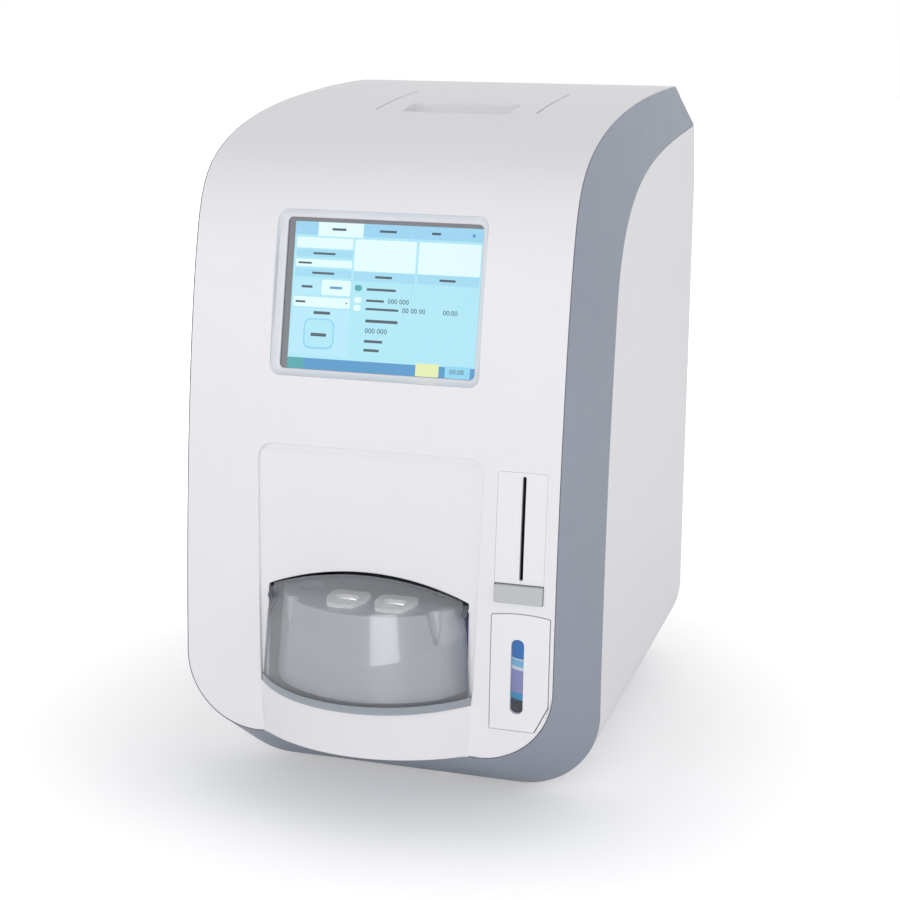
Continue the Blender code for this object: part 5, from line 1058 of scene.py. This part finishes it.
across = [2 * i / CLEAR_STEPS - 1 for i in range(CLEAR_STEPS + 1)]
visor_rows = [
    visor_row(LIP_HALF, visor_front, visor_low, visor_low),
    visor_row(LIP_HALF, visor_front, flange_top, flange_top),
    visor_row(LIP_HALF - CLEAR_STEP, visor_front + CLEAR_STEP, flange_top + SEAM, flange_top + SEAM),
    visor_row(CREASE_HALF, visor_front + CLEAR_STEP, CREASE_END, CREASE_MIDDLE),
    visor_row(BROW_HALF, visor_front + BROW_SETBACK, BROW_Z, BROW_Z),
    [(RIM_HALF * u, rim_y, RIM_Z + RIM_RISE * (1 - u ** 2)) for u in across],
]
wide = CLEAR_STEPS + 1
visor_faces = strips(len(visor_rows), wide, closed=False)
crease_row, brow_row, rim_row = (k * wide for k in (3, 4, 5))
visor_faces.append((crease_row, brow_row, rim_row))
visor_faces.append((crease_row + CLEAR_STEPS, rim_row + CLEAR_STEPS, brow_row + CLEAR_STEPS))
visor = shape_from("visor", mesh_from("visor", [point for row in visor_rows for point in row],
                                      visor_faces))
for surface in (smoke, smoke_edge, smoke_flange):
    visor.data.materials.append(surface)
for face in visor.data.polygons:
    if face.center.z < flange_top:
        face.material_index = 2
wall = visor.modifiers.new("Wall", 'SOLIDIFY')
wall.thickness = CLEAR_WALL
wall.offset = -1
wall.use_even_offset = True
wall.material_offset_rim = 1
visor = as_mesh(visor)
lug_front = rim_y - LUG_REACH
lug_outline = ([(lug_front, HINGE_Z - LUG_RADIUS), (hinge_y, HINGE_Z - LUG_RADIUS)]
               + arc((hinge_y, HINGE_Z), LUG_RADIUS, -90, 90, 20)[1:]
               + [(lug_front, HINGE_Z - LUG_RADIUS / 3)])
lugs = []
for side in (-1, 1):
    low, high = sorted((side * lug_in, side * lug_out))
    lug = cut(plate("lug", lug_outline, low, high, 'YZ'),
              rod("lug_hole", (hinge_y, HINGE_Z), HINGE_RADIUS + SEAM, low - LUG_WALL, high + LUG_WALL,
                  'X', sides=24))
    lug.data.materials.append(smoke_edge)
    lugs.append(lug)
visor = shaded(gathered([visor] + lugs), 6)
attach(visor, "carousel_cover")
visor.name = "clear_visor"
visor.data.name = "clear_visor"
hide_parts("carousel_cover")


# Carousel: bulged faces, rounded upper edge, corner notches and wells
def drum_ring(half, bulge, z, draw_in=0.0):
    side = [(x, v - half) for x, v in bow(half, bulge, DRUM_STEPS)[:-1]]
    ring = []
    for k in range(4):
        turn = Matrix.Rotation(math.radians(90 * k), 2)
        for point in side:
            x, y = turn @ Vector(point)
            scale = 1 - draw_in / math.hypot(x, y)
            ring.append((x * scale, CAROUSEL_Y + y * scale, z))
    return ring


def drum_share(z):
    t = (z - DRUM_LOW) / (DRUM_HIGH - DRUM_LOW)
    return (DRUM_FOOT_HALF + (DRUM_TOP_HALF - DRUM_FOOT_HALF) * t,
            DRUM_FOOT_BULGE + (DRUM_TOP_BULGE - DRUM_FOOT_BULGE) * t)


drum_rings = [drum_ring(*drum_share(DRUM_LOW), DRUM_LOW, DRUM_ROUND),
              drum_ring(*drum_share(DRUM_LOW + DRUM_ROUND), DRUM_LOW + DRUM_ROUND)]
for k in range(5):
    a = math.radians(22.5 * k)
    z = DRUM_HIGH - DRUM_ROUND + DRUM_ROUND * math.sin(a)
    drum_rings.append(drum_ring(*drum_share(z), z, DRUM_ROUND * (1 - math.cos(a))))
drum = loft("drum", drum_rings)
drum_cuts = []
for k in range(4):
    corner = Matrix.Rotation(math.radians(90 * k + 45), 2) @ Vector((0, -DRUM_TOP_HALF * math.sqrt(2)))
    drum_cuts.append(rod("corner_notch", (corner.x, CAROUSEL_Y + corner.y), 0, NOTCH_LOW,
                         DRUM_HIGH + NOTCH_RADIUS, sides=24, end_radius=NOTCH_RADIUS))
    for offset in (WELL_LEFT, WELL_RIGHT):
        well = Matrix.Rotation(math.radians(90 * k), 2) @ Vector((offset, -WELL_REACH))
        drum_cuts.append(rod("well", (well.x, CAROUSEL_Y + well.y), WELL_RADIUS, DRUM_HIGH - WELL_DEPTH,
                             DRUM_HIGH + WELL_RADIUS))
drum_cuts.append(rod("shaft_seat", (0, CAROUSEL_Y), SHAFT_SEAT_RADIUS, DRUM_LOW - OVERRUN,
                     DRUM_LOW + SHAFT_SEAT_HEIGHT))
drum = cut(drum, *drum_cuts)
piece(shaded(eased(drum, DRUM_EDGE, 2, 50), 40), "sample_drum", "carousel", "grey_plastic", drum_grey,
      "carousel")


# Cartridges: waisted collar, finger recess with a sloped mouth, front notch and the cup below
def cartridge_outline(offset):
    half = CARTRIDGE_WIDTH / 2
    round_y = CARTRIDGE_REAR - COLLAR_CORNER
    points = arc((offset + half - COLLAR_CORNER, round_y), COLLAR_CORNER, 0, 90, 10)
    points += arc((offset - half + COLLAR_CORNER, round_y), COLLAR_CORNER, 90, 180, 10)
    waist = [(half, CARTRIDGE_REAR - COLLAR_SHOULDER)]
    waist += [(half - inset, CARTRIDGE_FRONT + setback) for inset, setback in COLLAR_WAIST]
    points += [(offset - x, y) for x, y in waist]
    points += [(offset + x, CARTRIDGE_FRONT + setback) for x, setback in COLLAR_NOTCH]
    points += [(offset + x, y) for x, y in reversed(waist)]
    return points


def recess_outline(offset, half, front, rear, corner):
    return rounded(offset - half, offset + half, front, rear, corner, 10)


collar_low = DRUM_HIGH + SEAM
collar_high = collar_low + COLLAR_WALL
cup_y = CAROUSEL_Y - WELL_REACH
cup_low = DRUM_HIGH - WELL_DEPTH + SEAM
cup_radius = WELL_RADIUS - SEAM
for offset, name in ((WELL_LEFT, "left"), (WELL_RIGHT, "right")):
    collar = plate("collar", cartridge_outline(offset), collar_low, collar_high)
    collar = join(collar, rod("cup", (offset, cup_y), cup_radius, cup_low, collar_low + COLLAR_WALL / 2))
    collar = cut(
        collar,
        rod("cup_space", (offset, cup_y), cup_radius - CUP_WALL, cup_low + CUP_WALL, collar_low),
        plate("cup_mouth", recess_outline(offset, *RECESS), collar_low - COLLAR_WALL,
              collar_high + COLLAR_WALL),
        loft("mouth_slope", [[(x, y, collar_high + rise) for x, y in recess_outline(offset, *recess)]
                             for rise, recess in RECESS_SLOPE]))
    piece(shaded(eased(collar, COLLAR_EDGE, 2, 40)), "cartridge_cup_" + name, "cartridge_" + name,
          "white_plastic", cartridge_white, "cartridge_" + name)

# Display: glass with painted recess shade at its left and top border, and the lit picture of plain
# fields, bars and digits on it
glass = loft("glass", [screen_ring(half_u + SHELF - SEAM, half_v + SHELF - SEAM, BEZEL_CORNER, depth)
                       for depth in (shelf_depth + SEAM, shelf_depth + SEAM + GLASS_WALL)])
piece(shaded(eased(glass, GLASS_EDGE)), "display_glass", "housing", "screen_glass", glass_painted_shade,
      "touch_glass")
lit_looks = [
    lit("display_ground", (0.40, 0.80, 0.93), 0.82),
    lit("display_field", (0.74, 0.95, 0.99), 0.86),
    lit("display_bar", (0.33, 0.72, 0.92), 0.80),
    lit("display_tab", (0.30, 0.66, 0.90), 0.80),
    lit("display_strip", (0.035, 0.27, 0.56), 0.85),
    lit("display_button", (0.24, 0.66, 0.90), 0.82),
    lit("display_note", (0.80, 0.88, 0.42), 0.80),
    lit("display_ink", (0.03, 0.10, 0.15), 0.30),
    lit("display_strip_end", (0.03, 0.36, 0.40), 0.80),
    lit("display_button_light", (0.44, 0.80, 0.95), 0.84),
]
GROUND, FIELD, BAR, TAB, STRIP, BUTTON, NOTE, INK, STRIP_END, BUTTON_LIGHT = range(10)
glass_face = shelf_depth + SEAM
lit_width = LIT_RIGHT - LIT_LEFT
lit_height = LIT_HIGH - LIT_LOW
picture_parts = []


def patch(left, right, top, bottom, colour, level, corner):
    """A thin patch of the picture; places are shares of the lit area from its upper left corner."""
    u0, u1 = LIT_LEFT + left * lit_width, LIT_LEFT + right * lit_width
    v0, v1 = LIT_HIGH - bottom * lit_height, LIT_HIGH - top * lit_height
    if corner:
        loop = rounded(u0, u1, v0, v1, corner, 5)
    else:
        loop = [(u0, v0), (u1, v0), (u1, v1), (u0, v1)]
    back = glass_face - FILM * (level - 1) - FILM * 0.1
    front = glass_face - FILM * level
    shape = loft("patch", [[on_screen(u, v, depth) for u, v in loop] for depth in (back, front)])
    shape.data.materials.append(lit_looks[colour])
    picture_parts.append(shape)


def digits(text, left, top, size):
    """A line of plain digits on the picture."""
    data = bpy.data.curves.new("digits", 'FONT')
    data.body = text
    data.size = size * lit_height * DIGIT_SHARE
    data.extrude = FILM * 0.4
    data.resolution_u = 3
    shape = as_mesh(shape_from("digits", data))
    foot = LIT_HIGH - (top + size) * lit_height
    turn = Matrix((Vector((1, 0, 0)), screen_up, screen_out)).transposed().to_4x4()
    place = Vector(on_screen(LIT_LEFT + left * lit_width, foot, glass_face - FILM * DIGIT_LEVEL))
    shape.data.transform(Matrix.Translation(place) @ turn)
    shape.data.materials.clear()
    shape.data.materials.append(lit_looks[INK])
    picture_parts.append(shape)


PATCHES = (
    (GROUND, 1, 0, [(0, 1, 0, 1)]),
    (TAB, 2, 0, [(0, 1, 0, 0.088)]),
    (STRIP, 2, 0, [(0, 1, 0.924, 1)]),
    (BAR, 2, 0, [(0.640, 0.644, 0.420, 0.490)]),
    (BAR, 2, 0.0004, [(0.012, 0.318, 0.318, 0.372), (0.328, 0.655, 0.322, 0.386),
                      (0.668, 0.992, 0.322, 0.386)]),
    (BAR, 2, 0.0006, [(0.012, 0.318, 0.188, 0.238)]),
    (FIELD, 2, 0.0006, [(0.012, 0.318, 0.254, 0.304)]),
    (FIELD, 2, 0.0008, [(0.012, 0.318, 0.105, 0.178), (0.328, 0.655, 0.105, 0.318),
                        (0.668, 0.992, 0.105, 0.318), (0.012, 0.318, 0.508, 0.576)]),
    (FIELD, 2, 0.0014, [(0.340, 0.378, 0.492, 0.532), (0.340, 0.378, 0.546, 0.586)]),
    (FIELD, 2, 0.0016, [(0.160, 0.318, 0.388, 0.492)]),
    (STRIP_END, 2, 0.0014, [(0.340, 0.378, 0.412, 0.452)]),
    (BUTTON_LIGHT, 2, 0.0012, [(0.012, 0.322, 0.588, 0.900)]),
    (BUTTON_LIGHT, 2, 0.0016, [(0.014, 0.150, 0.388, 0.492)]),
    (FIELD, 3, 0, [(0.125, 0.368, 0, 0.095)]),
    (BAR, 3, 0, [(0.620, 0.623, 0.005, 0.085), (0.885, 0.888, 0.005, 0.085)]),
    (STRIP, 3, 0.0004, [(0.206, 0.272, 0.432, 0.448)]),
    (STRIP_END, 3, 0, [(0, 0.090, 0.924, 1)]),
    (NOTE, 3, 0.0006, [(0.690, 0.812, 0.912, 0.998)]),
    (BUTTON, 3, 0.0006, [(0.845, 0.975, 0.918, 0.998)]),
    (BUTTON, 3, 0.0042, [(0.078, 0.244, 0.652, 0.860)]),
    (GROUND, 4, 0.0036, [(0.086, 0.236, 0.662, 0.846)]),
    (STRIP, 4, 0.0008, [(0.942, 0.958, 0.036, 0.060)]),
    (INK, 3, 0.0003, [(0.296, 0.304, 0.536, 0.546)]),
    (INK, 3, 0.0004, [(0.105, 0.225, 0.206, 0.220), (0.026, 0.100, 0.273, 0.286),
                      (0.105, 0.225, 0.338, 0.353), (0.445, 0.535, 0.346, 0.362),
                      (0.785, 0.870, 0.346, 0.362), (0.052, 0.112, 0.432, 0.448),
                      (0.024, 0.078, 0.536, 0.550), (0.126, 0.216, 0.604, 0.624),
                      (0.405, 0.560, 0.430, 0.446), (0.405, 0.500, 0.506, 0.521),
                      (0.405, 0.580, 0.562, 0.577), (0.408, 0.580, 0.640, 0.660),
                      (0.408, 0.505, 0.778, 0.796), (0.408, 0.490, 0.838, 0.856)]),
    (INK, 4, 0.0004, [(0.200, 0.275, 0.038, 0.054), (0.455, 0.545, 0.038, 0.054),
                      (0.730, 0.778, 0.038, 0.054)]),
    (INK, 5, 0.0005, [(0.118, 0.202, 0.752, 0.774)]),
)
DIGITS = (("000 000", 0.520, 0.492, 0.034), ("00 00 00", 0.600, 0.548, 0.034),
          ("00:00", 0.815, 0.548, 0.034), ("000 000", 0.408, 0.696, 0.036),
          ("00:00", 0.868, 0.936, 0.034))
for colour, level, corner, places in PATCHES:
    for place in places:
        patch(*place, colour, level, corner)
for line in DIGITS:
    digits(*line)
picture = gathered(picture_parts)
picture.name = "display_picture"
picture.data.name = "display_picture"
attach(picture, "housing")


# Plain pieces of the frame with their edges eased
def refined(name, width, steps=2, merge=True):
    """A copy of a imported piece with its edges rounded, that stands for it."""
    body = next(b for b, members in frame["record"]["behaviour"]["bodies"].items() if name in members)
    mesh = nodes[name].data.copy()
    mesh.materials.clear()
    cleaned(mesh)
    shape = shape_from(name + "_eased", mesh)
    shape = shaded(eased(shape, width, steps, 30, merge), 35)
    return piece(shape, name + "_eased", body, slots[name], SLOT_LOOKS[slots[name]], name)


refined("rear_panel", 0.0003, merge=False)
refined("base_tray", 0.0004)
refined("power_inlet", 0.0005)
refined("power_switch", 0.0006, 3)
refined("data_port", 0.0004)
for name in ("foot_front_left", "foot_front_right", "foot_rear_left", "foot_rear_right",
             "foot_front_middle"):
    refined(name, 0.0007, 3)


# Rear screws: one tree places the same flat head at each point
def screw_tree():
    tree = bpy.data.node_groups.new("screws", 'GeometryNodeTree')
    face = tree.interface
    face.new_socket("Points", in_out='INPUT', socket_type='NodeSocketGeometry')
    for label, value in SCREW_SIZES:
        socket = face.new_socket(label, in_out='INPUT', socket_type='NodeSocketFloat')
        socket.default_value = value
    face.new_socket("Finish", in_out='INPUT', socket_type='NodeSocketMaterial')
    face.new_socket("Screws", in_out='OUTPUT', socket_type='NodeSocketGeometry')
    given = tree.nodes.new('NodeGroupInput').outputs
    radius, height = given["Head radius"], given["Head height"]
    head = node(tree, 'GeometryNodeMeshCylinder', "Mesh",
                {"Vertices": SCREW_SIDES, "Radius": radius, "Depth": height})
    size = node(tree, 'ShaderNodeCombineXYZ', "Vector",
                {"X": radius, "Y": given["Slot width"], "Z": height})
    bar = node(tree, 'GeometryNodeMeshCube', "Mesh", {"Size": size})
    lift = node(tree, 'GeometryNodeTransform', "Geometry",
                {"Geometry": bar, "Translation": (0, 0, SCREW_LIFT)})
    cross = node(tree, 'GeometryNodeTransform', "Geometry",
                 {"Geometry": lift, "Rotation": (0, 0, math.radians(90))})
    drive = node(tree, 'GeometryNodeMeshBoolean', "Mesh", {"Mesh 1": head, "Mesh 2": lift},
                 operation='DIFFERENCE')
    fill(tree, drive.node, {"Mesh 2": cross})
    spots = node(tree, 'GeometryNodeMeshToPoints', "Points", {"Mesh": given["Points"]})
    put = node(tree, 'GeometryNodeInstanceOnPoints', "Instances",
               {"Points": spots, "Instance": drive, "Rotation": (math.radians(-90), 0, 0)})
    real = node(tree, 'GeometryNodeRealizeInstances', "Geometry", {"Geometry": put})
    finish = node(tree, 'GeometryNodeSetMaterial', "Geometry",
                  {"Geometry": real, "Material": given["Finish"]})
    fill(tree, tree.nodes.new('NodeGroupOutput'), {"Screws": finish})
    return tree


screw_places = [(side * x, REAR_Y - SCREW_SUNK, z) for side in (-1, 1) for x, z in SCREW_SPOTS]
screws = shape_from("rear_screws", mesh_from("rear_screws", screw_places, []))
tree = screw_tree()
placing = screws.modifiers.new("Screws", 'NODES')
placing.node_group = tree
for item in tree.interface.items_tree:
    if item.in_out == 'INPUT' and item.name == "Finish":
        placing[item.identifier] = SLOT_LOOKS["zinc_sheet"]
screws = shaded(as_mesh(screws))
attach(screws, "housing")


# Studio: pale floor, wide soft lamps and an even room
def shown(tree, mirrored):
    """How far rays see a glow: camera and clear walls fully, mirrors by the given share."""
    rays = tree.nodes.new('ShaderNodeLightPath').outputs
    direct = maths(tree, 'MAXIMUM', rays["Is Camera Ray"],
                   maths(tree, 'MULTIPLY', rays["Is Glossy Ray"], mirrored))
    return maths(tree, 'MAXIMUM', direct, rays["Is Transmission Ray"])


floor_corners = [(-FLOOR_HALF, -FLOOR_HALF, 0), (FLOOR_HALF, -FLOOR_HALF, 0),
                 (FLOOR_HALF, FLOOR_HALF, 0), (-FLOOR_HALF, FLOOR_HALF, 0)]
floor = shape_from("floor", mesh_from("floor", floor_corners, [(0, 1, 2, 3)]))
floor.location.z = FLOOR_LEVEL
ground, ground_tree, ground_shader, ground_place = new_surface("floor_look")
away = node(ground_tree, 'ShaderNodeVectorMath', "Value", {0: ground_place}, operation='LENGTH')
fade = spread(ground_tree, away, *FLOOR_FADE)
fill(ground_tree, ground_shader, {
    "Base Color": (0.86, 0.86, 0.87, 1), "Roughness": 0.9, "Specular IOR Level": 0.1,
    "Emission Color": (1, 1, 1, 1),
    "Emission Strength": maths(ground_tree, 'MULTIPLY', shown(ground_tree, FLOOR_MIRRORED), fade)})
floor.data.materials.append(ground)

scene = bpy.context.scene
room = bpy.data.worlds.new("room")
scene.world = room
room.use_nodes = True
air = room.node_tree
fill(air, air.nodes["Background"], {
    "Color": (1, 1, 1, 1), "Strength": spread(air, shown(air, 1.0), ROOM_LIGHT, 1.0, 0.0, 1.0)})

for name, place, target, size, power in LAMPS:
    lamp_data = bpy.data.lights.new(name, 'AREA')
    lamp_data.shape = 'RECTANGLE'
    lamp_data.size, lamp_data.size_y = size
    lamp_data.energy = power
    way = (Vector(target) - Vector(place)).to_track_quat('-Z', 'Y')
    lamp = shape_from(name, lamp_data)
    lamp.matrix_world = Matrix.Translation(place) @ way.to_matrix().to_4x4()

# Camera at the photograph's place
yaw, pitch, roll = (math.radians(v) for v in CAMERA_TURNS)
forward = Vector((-math.sin(yaw) * math.cos(pitch), math.cos(yaw) * math.cos(pitch), -math.sin(pitch)))
right = Vector((math.cos(yaw), math.sin(yaw), 0))
upward = right.cross(forward)
turned_right = right * math.cos(roll) + upward * math.sin(roll)
turned_up = upward * math.cos(roll) - right * math.sin(roll)
camera_data = bpy.data.cameras.new("camera")
camera_data.sensor_width = SENSOR_WIDTH
camera_data.lens = FOCAL_PIXELS / PHOTO_PIXELS * SENSOR_WIDTH
camera_data.clip_start = 0.01
camera_data.clip_end = 50
camera = shape_from("camera", camera_data)
axes = Matrix((turned_right, turned_up, -forward)).transposed().to_4x4()
camera.matrix_world = Matrix.Translation(CAMERA_PLACE) @ axes
scene.camera = camera
scene.view_settings.view_transform = 'Standard'

bpy.context.view_layer.update()
